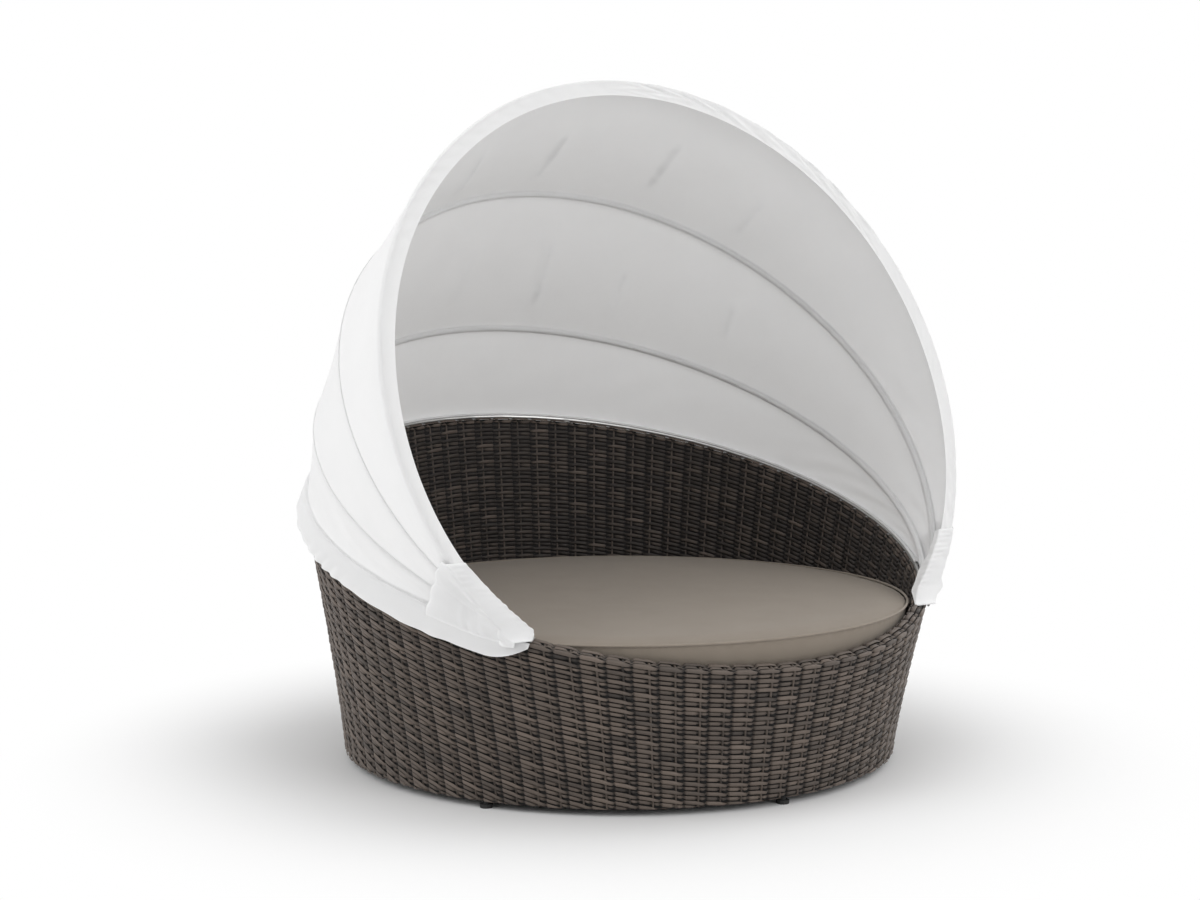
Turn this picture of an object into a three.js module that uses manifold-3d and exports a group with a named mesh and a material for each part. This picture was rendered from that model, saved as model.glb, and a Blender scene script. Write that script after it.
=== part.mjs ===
// A round woven daybed with a folding canopy, in millimetres, +Z up, front toward -Y.
// The origin is on the floor, in the middle of the footprint.
import * as THREE from 'three';
import { mergeVertices } from 'three/addons/utils/BufferGeometryUtils.js';
import Module from 'manifold-3d';

const wasm = await Module();
wasm.setup();

const { degToRad, lerp } = THREE.MathUtils;

// Tub: a tilted round rim above a smaller round base, joined by a flaring wall.
const rimRadius = 900;
const rimTilt = degToRad(17.2);
const rimHeight = 629;
const rimSetback = 9;
const wallFlare = 113;
const floorGap = 20;
const flareExponent = 1.19;
const skinThickness = 8;
const borderHeight = 12;
const borderOverhang = 1;
const borderCorner = 6;

// Metal frame inside the wall, and the seat deck that it carries.
const ringDiameter = 19;
const ringPlay = 1.2;
const uprightDiameter = 18;
const uprightCount = 8;
const seatRingDiameter = 22;
const slatThickness = 12;
const slatWidth = 84;
const slatPitch = 150;
const slatMargin = 60;
const beamWidth = 30;
const beamHeight = 40;
const beamSpread = 560;
const glideCount = 6;
const glideDiameter = 34;
const glideHeight = 10;
const glideStemDiameter = 16;

// Cushion.
const cushionRise = 84;
const cushionThickness = 140;
const cushionCrown = 14;
const cushionPlay = 12;
const cushionBulge = 5;
const cushionCorner = 22;
const weltDiameter = 7;

// Canopy: three bows that swing on one axis and nest, and one bow fixed on the rim.
const pivotAhead = 585;
const pivotPlay = 4.4;
const bowDiameter = 12;
const bowLead = 17;
const bowInset = 9;
const bowPlay = 3;
const bowTilts = [11.1, 30.8, 51.4].map(degToRad);
const eyeletDiameter = 14;
const eyeletRecess = 1;
const pinDiameter = 6;
const borePlay = 0.6;
const pinHeadDiameter = 12;
const pinHeadHeight = 4;
const capDiameter = 16;
const capHeight = 12;
const capFloor = 3;
const pinEngagement = 6;
const plateThickness = 6;
const plateWidth = 26;
const flangeWidth = 28;
const flangeMargin = 6;
const flangeThickness = 4;
const screwDiameter = 5;
const screwHeadDiameter = 9;
const screwHeadHeight = 3;
const screwMargin = 11;
const rimBowStart = 70;
const clipCount = 6;
const clipThickness = 1.5;
const clipWidth = 14;
const clipFoot = 3;
const clipPlay = 0.8;

// Canopy cloth.
const clothThickness = 2;
const clothPlay = 0.4;
const hemPlay = 1;
const goreDraw = 8;
const valanceDrop = 48;
const valanceFlare = 9;
const valanceTuck = 4;
const hemDepth = 38;
const hemFront = 9;
const coverBack = 34;
const coverSpread = 90;
const coverInner = 44;
const coverPlay = 3;
const coverCapPlay = 1.5;

// Gap between pieces that touch, and how far a cutter runs past what it cuts.
const touchGap = 0.3;
const cutOverrun = 10;

// Steps round the tub, along a bow and round a tube.
const aroundSteps = 48;
const wallSteps = 4;
const bowSteps = 36;
const bowSides = 8;
const ringSides = 6;
const boltSides = 12;
const goreBands = 5;
const goreStart = 1;
const coverSteps = 2;

const baseRadius = rimRadius - wallFlare;
const boreDiameter = pinDiameter + borePlay;
const cavity = Math.max(ringDiameter, uprightDiameter) + 2 * ringPlay;
const wallThickness = 2 * skinThickness + cavity;
const tubeInset = skinThickness + cavity / 2;
const bowReach = pivotAhead + bowLead;
const rearBowRadius = rimRadius - bowInset;
const bowNesting = bowDiameter + bowPlay;
const bowRadii = bowTilts.map((tilt, i) => rearBowRadius + i * bowNesting);
const cushionTop = rimHeight - rimRadius * Math.sin(rimTilt) + cushionRise;
const deckTop = cushionTop - cushionThickness - touchGap;
const ringFlatShare = Math.cos(Math.PI / ringSides);
const seatRingFlat = (seatRingDiameter / 2) * ringFlatShare;
const seatRingHeight = deckTop - slatThickness - touchGap - seatRingFlat;
const seatRingInset = tubeInset + uprightDiameter / 2 + touchGap + seatRingDiameter / 2;
const ringDrop = ringDiameter / 2 + ringPlay;

const finishes = {
  wicker: { color: 0x4b433c, roughness: 0.55, metalness: 0 },
  frame: { color: 0x3a3632, roughness: 0.5, metalness: 0.6 },
  bow: { color: 0xd9d9d6, roughness: 0.35, metalness: 0.8 },
  steel: { color: 0xb9bab8, roughness: 0.3, metalness: 0.9 },
  rubber: { color: 0x1d1c1b, roughness: 0.9, metalness: 0 },
  cushion: { color: 0x83796d, roughness: 0.9, metalness: 0 },
  cloth: { color: 0xf3f3f1, roughness: 0.85, metalness: 0 },
};

function piece(name, geometry, finish) {
  const material = new THREE.MeshStandardMaterial(finishes[finish]);
  const mesh = new THREE.Mesh(geometry, material);
  mesh.name = name;
  return mesh;
}

// Solids from points

function signedVolume(positions, index) {
  const [a, b, c] = [new THREE.Vector3(), new THREE.Vector3(), new THREE.Vector3()];
  let sum = 0;
  for (let i = 0; i < index.length; i += 3) {
    a.fromArray(positions, 3 * index[i]);
    b.fromArray(positions, 3 * index[i + 1]);
    c.fromArray(positions, 3 * index[i + 2]);
    sum += a.dot(b.cross(c));
  }
  return sum;
}

// Joins a row of outlines into a solid. An outline runs out along one side of the section
// and back along the other, so strips between the two sides close the ends of an open row.
function loft(outlines, closed) {
  const count = outlines.length;
  const size = outlines[0].length;
  const positions = outlines.flat().flatMap((point) => point.toArray());
  const index = [];
  const at = (i, j) => (i % count) * size + (j % size);
  const quad = (a, b, c, d) => index.push(a, b, c, a, c, d);
  for (let i = 0; i < (closed ? count : count - 1); i += 1) {
    for (let j = 0; j < size; j += 1) {
      quad(at(i, j), at(i + 1, j), at(i + 1, j + 1), at(i, j + 1));
    }
  }
  if (!closed) {
    const last = count - 1;
    for (let j = 0; j < size / 2 - 1; j += 1) {
      quad(at(0, j), at(0, j + 1), at(0, size - 2 - j), at(0, size - 1 - j));
      quad(at(last, size - 1 - j), at(last, size - 2 - j), at(last, j + 1), at(last, j));
    }
  }
  if (signedVolume(positions, index) < 0) index.reverse();
  const geometry = new THREE.BufferGeometry();
  geometry.setAttribute('position', new THREE.Float32BufferAttribute(positions, 3));
  geometry.setIndex(index);
  geometry.computeVertexNormals();
  return geometry;
}

function range(count, make) {
  return Array.from({ length: count }, (unused, i) => make(i));
}

// Angles round the tub, from +X through the back.
const around = range(aroundSteps, (i) => (2 * Math.PI * i) / aroundSteps);

// A closed ring of round tube through a loop of centres.
function ringTube(centreAt, diameter, sides) {
  const step = 1 / aroundSteps;
  return loft(around.map((angle) => {
    const centre = centreAt(angle);
    const along = centreAt(angle + step).sub(centreAt(angle - step)).normalize();
    const across = new THREE.Vector3(0, 0, 1).cross(along).normalize();
    const above = along.clone().cross(across);
    return range(sides, (i) => {
      const turn = (2 * Math.PI * i) / sides;
      return centre.clone()
        .addScaledVector(across, (diameter / 2) * Math.cos(turn))
        .addScaledVector(above, (diameter / 2) * Math.sin(turn));
    });
  }), true);
}

function roundTube(path, diameter, sides, steps) {
  const outline = new THREE.Shape().absarc(0, 0, diameter / 2, 0, 2 * Math.PI);
  return new THREE.ExtrudeGeometry(outline, {
    steps, curveSegments: sides / 2, bevelEnabled: false, extrudePath: path,
  });
}

// A turned piece whose profile is [radius, place along +X] pairs, starting at x = start.
function turnedAlongX(profile, start, sides) {
  const points = profile.map(([radius, along]) => new THREE.Vector2(radius, along));
  const geometry = new THREE.LatheGeometry(points, sides);
  geometry.rotateZ(-Math.PI / 2);
  geometry.translate(start, 0, 0);
  return geometry;
}

// Booleans

function manifoldOf(geometry) {
  const bare = geometry.clone();
  bare.deleteAttribute('normal');
  bare.deleteAttribute('uv');
  const merged = mergeVertices(bare);
  return new wasm.Manifold(new wasm.Mesh({
    numProp: 3,
    vertProperties: merged.attributes.position.array,
    triVerts: new Uint32Array(merged.index.array),
  }));
}

function geometryOf(manifold) {
  const mesh = manifold.getMesh();
  const geometry = new THREE.BufferGeometry();
  geometry.setAttribute('position', new THREE.BufferAttribute(mesh.vertProperties, 3));
  geometry.setIndex(new THREE.BufferAttribute(mesh.triVerts, 1));
  geometry.computeVertexNormals();
  return geometry;
}

// Places on the tub

// A point over the rim: in the rim's own plane, lifted square to it.
function rimPoint(radius, angle, lift) {
  return new THREE.Vector3(radius * Math.cos(angle), radius * Math.sin(angle), lift);
}

// The same point in the frame of the whole part.
function toFloorFrame(point) {
  return point.applyAxisAngle(new THREE.Vector3(1, 0, 0), rimTilt)
    .add(new THREE.Vector3(0, rimSetback, rimHeight));
}

// A point in the wall: a share of the height from its lower edge, and inset from outside.
function wallPoint(angle, share, inset) {
  const top = toFloorFrame(rimPoint(rimRadius - inset, angle, 0));
  const foot = baseRadius - inset;
  const flare = share ** flareExponent;
  return new THREE.Vector3(
    lerp(foot * Math.cos(angle), top.x, flare),
    lerp(foot * Math.sin(angle), top.y, flare),
    lerp(floorGap, top.z, share),
  );
}

function levelPoint(angle, height, inset) {
  const top = toFloorFrame(rimPoint(rimRadius - inset, angle, 0)).z;
  return wallPoint(angle, (height - floorGap) / (top - floorGap), inset);
}

// Where the faceted level loop of the wall crosses a line of constant x or y: the other
// coordinate of each crossing.
function crossings(height, inset, axis, value) {
  const other = axis === 'x' ? 'y' : 'x';
  const loop = around.map((angle) => levelPoint(angle, height, inset));
  const found = [];
  loop.forEach((start, i) => {
    const end = loop[(i + 1) % loop.length];
    const share = (value - start[axis]) / (end[axis] - start[axis]);
    if (share >= 0 && share < 1) found.push(lerp(start[other], end[other], share));
  });
  return found;
}

// Tub

function skin(inset, startAt) {
  return loft(around.map((angle) => {
    const start = startAt(angle);
    const shares = range(wallSteps + 1, (i) => lerp(start, 1, i / wallSteps));
    const outer = shares.map((share) => wallPoint(angle, share, inset));
    const inner = shares.map((share) => wallPoint(angle, share, inset + skinThickness));
    return [...outer, ...inner.reverse()];
  }), true);
}

function tub() {
  const group = new THREE.Group();
  const innerInset = skinThickness + cavity;
  const deckShare = (angle) => {
    const top = toFloorFrame(rimPoint(rimRadius - innerInset, angle, 0)).z;
    return (seatRingHeight + seatRingDiameter / 2 + touchGap - floorGap) / (top - floorGap);
  };
  group.add(piece('wicker_outer', skin(0, () => 0), 'wicker'));
  group.add(piece('wicker_inner', skin(innerInset, deckShare), 'wicker'));

  const baseRing = (angle) => levelPoint(angle, floorGap + ringDrop, tubeInset);
  const seatRing = (angle) => levelPoint(angle, seatRingHeight, seatRingInset);
  const rimRing = (angle) => {
    const top = toFloorFrame(rimPoint(rimRadius - tubeInset, angle, 0)).z;
    return levelPoint(angle, top - ringDrop - ringPlay, tubeInset);
  };
  group.add(piece('base_ring', ringTube(baseRing, ringDiameter, ringSides), 'frame'));
  group.add(piece('seat_ring', ringTube(seatRing, seatRingDiameter, ringSides), 'frame'));
  group.add(piece('rim_ring', ringTube(rimRing, ringDiameter, ringSides), 'frame'));

  for (let i = 0; i < uprightCount; i += 1) {
    const angle = (2 * Math.PI * i) / uprightCount;
    const reach = ringDiameter / 2 + touchGap;
    const slant = Math.abs(Math.cos(angle)) * Math.tan(rimTilt);
    const low = baseRing(angle).z + reach;
    const high = rimRing(angle).z - reach * Math.hypot(1, slant) - slant * uprightDiameter / 2;
    const points = range(wallSteps, (k) => (
      levelPoint(angle, lerp(low, high, k / (wallSteps - 1)), tubeInset)));
    const path = new THREE.CatmullRomCurve3(points);
    const tube = roundTube(path, uprightDiameter, bowSides, wallSteps);
    group.add(piece(`upright_${i + 1}`, tube, 'frame'));
  }

  for (let i = 0; i < glideCount; i += 1) {
    const angle = (2 * Math.PI * (i + 1 / 2)) / glideCount;
    const centre = baseRing(angle);
    const top = centre.z - (ringDiameter / 2) * ringFlatShare - touchGap;
    const profile = [
      [0, 0],
      [glideDiameter / 2, 0],
      [glideDiameter / 2, glideHeight],
      [glideStemDiameter / 2, glideHeight],
      [glideStemDiameter / 2, top],
      [0, top],
    ].map(([radius, height]) => new THREE.Vector2(radius, height));
    const glide = new THREE.LatheGeometry(profile, boltSides);
    glide.rotateX(Math.PI / 2);
    const mesh = piece(`glide_${i + 1}`, glide, 'rubber');
    mesh.position.set(centre.x, centre.y, 0);
    group.add(mesh);
  }
  return group;
}

function deck() {
  const group = new THREE.Group();
  const depths = crossings(seatRingHeight, seatRingInset, 'x', 0);
  const middle = (Math.min(...depths) + Math.max(...depths)) / 2;
  const reach = (Math.max(...depths) - Math.min(...depths)) / 2;
  const slatsAside = Math.floor((reach - slatWidth / 2 - slatMargin) / slatPitch);
  const slatCount = 2 * slatsAside + 1;
  for (let i = 0; i < slatCount; i += 1) {
    const y = middle + (i - slatsAside) * slatPitch;
    const half = Math.min(...[y - slatWidth / 2, y + slatWidth / 2].map((edge) => (
      Math.max(...crossings(seatRingHeight, seatRingInset, 'y', edge)))));
    const slat = piece(
      `deck_slat_${i + 1}`,
      new THREE.BoxGeometry(2 * half, slatWidth, slatThickness),
      'frame',
    );
    slat.position.set(0, y, deckTop - slatThickness / 2);
    group.add(slat);
  }
  const ringReach = seatRingDiameter / 2 + touchGap;
  [['left', -1], ['right', 1]].forEach(([name, side]) => {
    const outside = beamSpread / 2 + beamWidth / 2;
    const ends = crossings(seatRingHeight, seatRingInset + ringReach, 'x', outside);
    const front = Math.min(...ends);
    const back = Math.max(...ends);
    const beam = piece(
      `deck_beam_${name}`,
      new THREE.BoxGeometry(beamWidth, back - front, beamHeight),
      'frame',
    );
    const top = deckTop - slatThickness - touchGap;
    beam.position.set((side * beamSpread) / 2, (front + back) / 2, top - beamHeight / 2);
    group.add(beam);
  });
  return group;
}

// Cushion: its side follows the wall, full at the two seams, with a crown on top.
function cushion() {
  const bottom = cushionTop - cushionThickness;
  const inset = wallThickness + cushionPlay;
  const side = [
    [bottom, cushionCorner],
    [bottom + cushionCorner / 4, cushionCorner / 3],
    [bottom + cushionCorner, 0],
    [(bottom + cushionTop) / 2, -cushionBulge],
    [cushionTop - weltDiameter, 0],
    [cushionTop, weltDiameter / 2],
  ];
  const crownShares = [0.93, 0.75, 0.45];
  const centreY = (levelPoint(-Math.PI / 2, cushionTop, inset).y
    + levelPoint(Math.PI / 2, cushionTop, inset).y) / 2;
  const rings = side.map(([height, extra]) => (
    around.map((angle) => levelPoint(angle, height, inset + extra))));
  const edge = rings[rings.length - 1];
  crownShares.forEach((share) => {
    rings.push(edge.map((point) => new THREE.Vector3(
      point.x * share,
      lerp(centreY, point.y, share),
      cushionTop + cushionCrown * (1 - share ** 4),
    )));
  });
  const positions = rings.flat().flatMap((point) => point.toArray());
  positions.push(0, centreY, bottom, 0, centreY, cushionTop + cushionCrown);
  const lowCentre = rings.length * aroundSteps;
  const index = [];
  const at = (ring, i) => ring * aroundSteps + (i % aroundSteps);
  const top = rings.length - 1;
  for (let i = 0; i < aroundSteps; i += 1) {
    for (let ring = 0; ring < top; ring += 1) {
      index.push(at(ring, i), at(ring, i + 1), at(ring + 1, i + 1));
      index.push(at(ring, i), at(ring + 1, i + 1), at(ring + 1, i));
    }
    index.push(at(0, i + 1), at(0, i), lowCentre);
    index.push(at(top, i), at(top, i + 1), lowCentre + 1);
  }
  const geometry = new THREE.BufferGeometry();
  geometry.setAttribute('position', new THREE.Float32BufferAttribute(positions, 3));
  geometry.setIndex(index);
  geometry.computeVertexNormals();
  return piece('cushion', geometry, 'cushion');
}

// Canopy. A bow is the arc of a circle in a plane; `out` is measured from its centre line
// away from the circle's centre, `ahead` square to the plane, toward the open front.

const borderTop = touchGap + borderHeight;
const flangeTop = borderTop + touchGap + flangeThickness;
const pivotLift = flangeTop + eyeletDiameter / 2 + pivotPlay;
const eyeletLead = bowDiameter / 2 - eyeletRecess;
const screwSpread = plateWidth + 2 * screwMargin;
const rimBowLift = borderTop + touchGap + bowDiameter / 2;
const rimBowRadius = rimRadius - tubeInset;
const rimBow = {
  tilt: 0,
  ahead: 0,
  lift: rimBowLift,
  reach: 0,
  radius: rimBowRadius,
  start: Math.asin((rimBowStart - pivotAhead) / rimBowRadius),
};
const swingingBows = bowTilts.map((tilt, i) => ({
  tilt,
  ahead: pivotAhead,
  lift: pivotLift,
  reach: bowReach,
  radius: bowRadii[i],
  start: -Math.asin(bowReach / bowRadii[i]),
}));

function bowAngle(bow, share) {
  return lerp(bow.start, Math.PI - bow.start, share);
}

// In the bow's own plane.
function bowPoint(bow, share, out = 0, ahead = 0) {
  const angle = bowAngle(bow, share);
  const radius = bow.radius + out;
  return new THREE.Vector3(
    radius * Math.cos(angle),
    bow.reach + radius * Math.sin(angle),
    ahead,
  );
}

// In the rim's frame.
function bowPointOverRim(bow, share, out, ahead) {
  return bowPoint(bow, share, out, ahead)
    .applyAxisAngle(new THREE.Vector3(1, 0, 0), bow.tilt)
    .add(new THREE.Vector3(0, -bow.ahead, bow.lift));
}

class BowCurve extends THREE.Curve {
  constructor(bow) {
    super();
    this.bow = bow;
  }

  getPoint(share, target = new THREE.Vector3()) {
    return target.copy(bowPoint(this.bow, share));
  }
}

const bowFeet = bowRadii.map((radius) => Math.sqrt(radius ** 2 - bowReach ** 2));
const eyeletLengths = bowFeet.map((foot, i) => (
  i + 1 < bowFeet.length ? bowFeet[i + 1] - foot : foot - bowFeet[i - 1]) - touchGap);
const stackStart = bowFeet[0] - bowDiameter / 2;
const stackEnd = bowFeet.at(-1) - eyeletLead + eyeletLengths.at(-1) + touchGap;
const pivotAngle = Math.asin(-pivotAhead / rimBowRadius);

function swingingBow(bow, i) {
  let solid = manifoldOf(roundTube(new BowCurve(bow), bowDiameter, bowSides, bowSteps));
  [-1, 1].forEach((side) => {
    const length = eyeletLengths[i];
    const eyelet = new THREE.CylinderGeometry(
      eyeletDiameter / 2,
      eyeletDiameter / 2,
      length,
      boltSides,
    );
    eyelet.rotateZ(Math.PI / 2);
    eyelet.translate(side * (bowFeet[i] - eyeletLead + length / 2), 0, 0);
    solid = solid.add(manifoldOf(eyelet));
  });
  const bore = new THREE.CylinderGeometry(
    boreDiameter / 2,
    boreDiameter / 2,
    2 * (stackEnd + cutOverrun),
    boltSides,
  );
  bore.rotateZ(Math.PI / 2);
  return geometryOf(solid.subtract(manifoldOf(bore)));
}

// How far the inside of the cloth lies from a bow's centre line.
function clothSeat(bow) {
  const overClips = bow === rimBow ? clipPlay + clipThickness : 0;
  return bowDiameter / 2 + overClips + clothPlay;
}

// The seat of cloth that slopes inward from one bow to another: it clears the round tube.
function slopedSeat(bow, other, share) {
  const crest = bowPointOverRim(bow, share, clothSeat(bow), 0);
  const run = bowPointOverRim(other, share, clothSeat(other), 0).sub(crest).normalize();
  const inward = bowPointOverRim(bow, share, 0, 0).sub(crest).normalize();
  const slope = Math.asin(Math.max(run.dot(inward), 0)) + Math.atan((4 * goreDraw) / bowReach);
  return clothSeat(bow) / Math.cos(slope);
}

function gore(behind, inFront) {
  const surface = (step, across, out) => {
    const share = step / bowSteps;
    const startSeat = slopedSeat(behind, inFront, share);
    const endSeat = slopedSeat(inFront, behind, share);
    const start = bowPointOverRim(behind, share, startSeat + out, touchGap);
    const end = bowPointOverRim(inFront, share, endSeat + out, -touchGap);
    const spread = start.distanceTo(end) / bowReach;
    const draw = goreDraw * spread * 4 * across * (1 - across);
    const point = start.clone().lerp(end, across);
    const inward = new THREE.Vector3(0, bowReach - pivotAhead, 0).sub(point).normalize();
    return point.addScaledVector(inward, draw);
  };
  return loft(range(bowSteps - 2 * goreStart + 1, (i) => {
    const bands = range(goreBands, (j) => j / (goreBands - 1));
    const outer = bands.map((band) => surface(goreStart + i, band, clothThickness));
    const inner = bands.map((band) => surface(goreStart + i, band, 0));
    return [...outer, ...inner.reverse()];
  }), false);
}

// A strip of cloth along a bow, over a list of its steps. The section at a step is a list of
// [out, ahead] pairs for the outside; the inside lies a cloth's thickness from it.
function strip(bow, sectionAt, steps) {
  return loft(steps.map((step) => {
    const section = sectionAt(step);
    const inside = section.map(([out, ahead], j) => {
      const before = section[Math.max(j - 1, 0)];
      const after = section[Math.min(j + 1, section.length - 1)];
      const run = new THREE.Vector2(after[0] - before[0], after[1] - before[1]).normalize();
      return [out - run.y * clothThickness, ahead + run.x * clothThickness];
    });
    const place = ([out, ahead]) => bowPoint(bow, step / bowSteps, out, ahead);
    return [...section.map(place), ...inside.map(place).reverse()];
  }), false);
}

function bracket(side) {
  const hole = new THREE.Path().absarc(0, pivotLift, boreDiameter / 2, 0, 2 * Math.PI, true);
  const outline = new THREE.Shape();
  outline.moveTo(plateWidth / 2, flangeTop - flangeThickness / 2);
  outline.lineTo(plateWidth / 2, pivotLift);
  outline.absarc(0, pivotLift, plateWidth / 2, 0, Math.PI);
  outline.lineTo(-plateWidth / 2, flangeTop - flangeThickness / 2);
  outline.holes.push(hole);
  const plate = new THREE.ExtrudeGeometry(outline, {
    depth: plateThickness, bevelEnabled: false, curveSegments: boltSides / 2,
  });
  plate.applyMatrix4(new THREE.Matrix4().makeBasis(
    new THREE.Vector3(0, 1, 0),
    new THREE.Vector3(0, 0, 1),
    new THREE.Vector3(1, 0, 0),
  ));
  plate.translate(stackStart - plateThickness, -pivotAhead, 0);
  const flange = new THREE.BoxGeometry(
    flangeWidth,
    screwSpread + 2 * flangeMargin,
    flangeThickness,
  );
  flange.rotateZ(pivotAngle);
  const crest = rimPoint(rimBowRadius, pivotAngle, flangeTop - flangeThickness / 2);
  flange.translate(crest.x, crest.y, crest.z);
  let solid = manifoldOf(plate).add(manifoldOf(flange));
  screwPlaces().forEach((place) => {
    solid = solid.subtract(manifoldOf(screwHole(place)));
  });
  const geometry = geometryOf(solid);
  if (side < 0) {
    geometry.scale(-1, 1, 1);
    geometry.index.array.reverse();
  }
  return geometry;
}

// Two screws a side, on the crest of the rim border.
function screwPlaces() {
  const half = screwSpread / 2 / rimBowRadius;
  return [pivotAngle - half, pivotAngle + half].map((angle) => (
    rimPoint(rimBowRadius, angle, 0)));
}

function screwHole(place) {
  const radius = screwDiameter / 2 + touchGap;
  const depth = 2 * (pivotLift + cutOverrun);
  const hole = new THREE.CylinderGeometry(radius, radius, depth, boltSides);
  hole.rotateX(Math.PI / 2);
  hole.translate(place.x, place.y, 0);
  return hole;
}

function screw() {
  const profile = [
    [0, touchGap],
    [screwDiameter / 2, touchGap],
    [screwDiameter / 2, flangeTop + touchGap],
    [screwHeadDiameter / 2, flangeTop + touchGap],
    [screwHeadDiameter / 2, flangeTop + touchGap + screwHeadHeight],
    [0, flangeTop + touchGap + screwHeadHeight],
  ].map(([radius, height]) => new THREE.Vector2(radius, height));
  const geometry = new THREE.LatheGeometry(profile, boltSides);
  geometry.rotateX(Math.PI / 2);
  return geometry;
}

function border() {
  const outline = [
    [-borderOverhang, borderCorner],
    [borderCorner / 2, borderHeight - borderCorner / 3],
    [borderCorner + skinThickness / 2, borderHeight],
    [wallThickness - borderCorner - skinThickness / 2, borderHeight],
    [wallThickness - borderCorner / 2, borderHeight - borderCorner / 3],
    [wallThickness + borderOverhang, borderCorner],
    [wallThickness, 0],
    [0, 0],
  ];
  let solid = manifoldOf(loft(around.map((angle) => outline.map(([inset, height]) => (
    rimPoint(rimRadius - inset, angle, touchGap + height)))), true));
  screwPlaces().forEach((place) => {
    [-1, 1].forEach((side) => {
      const hole = screwHole(new THREE.Vector3(side * place.x, place.y, 0));
      solid = solid.subtract(manifoldOf(hole));
    });
  });
  return geometryOf(solid);
}

// A saddle over the rim bow, standing on the border either side of it.
function clip() {
  const inner = bowDiameter / 2 + clipPlay;
  const outer = inner + clipThickness;
  const foot = -bowDiameter / 2;
  const outline = new THREE.Shape();
  outline.moveTo(inner, foot);
  outline.lineTo(outer + clipFoot, foot);
  outline.lineTo(outer + clipFoot, foot + clipThickness);
  outline.lineTo(outer, foot + clipThickness);
  outline.absarc(0, 0, outer, 0, Math.PI);
  outline.lineTo(-outer, foot + clipThickness);
  outline.lineTo(-outer - clipFoot, foot + clipThickness);
  outline.lineTo(-outer - clipFoot, foot);
  outline.lineTo(-inner, foot);
  outline.absarc(0, 0, inner, Math.PI, 0, true);
  const geometry = new THREE.ExtrudeGeometry(outline, {
    depth: clipWidth, bevelEnabled: false, curveSegments: boltSides / 4,
  });
  geometry.translate(0, 0, -clipWidth / 2);
  geometry.rotateX(Math.PI / 2);
  return geometry;
}

// Past the rim bow's ends the skirt runs on to the pivots, under their flanges' edge.
function valance() {
  const start = clothSeat(rimBow) + clothThickness;
  const edge = borderOverhang + rimRadius - rimBowRadius + hemPlay + clothThickness;
  const corner = borderCorner - rimBowLift;
  const sectionAt = (step) => {
    const past = step < 0 || step > bowSteps;
    const [top, lift] = past ? [edge - valanceTuck, corner + valanceTuck] : [start, -touchGap];
    return [
      [top, lift],
      past ? [edge - valanceTuck / 2, corner + valanceTuck / 2]
        : [(start + edge) / 2, -bowDiameter / 2],
      [edge, corner],
      [edge + valanceFlare / 2, -rimBowLift - valanceDrop / 2],
      [edge + valanceFlare, -rimBowLift - valanceDrop],
    ];
  };
  const first = bowAngle(rimBow, 0);
  const past = (first - pivotAngle) / (bowAngle(rimBow, 1 / bowSteps) - first);
  return strip(rimBow, sectionAt, [-past, ...range(bowSteps + 1, (i) => i), bowSteps + past]);
}

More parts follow.
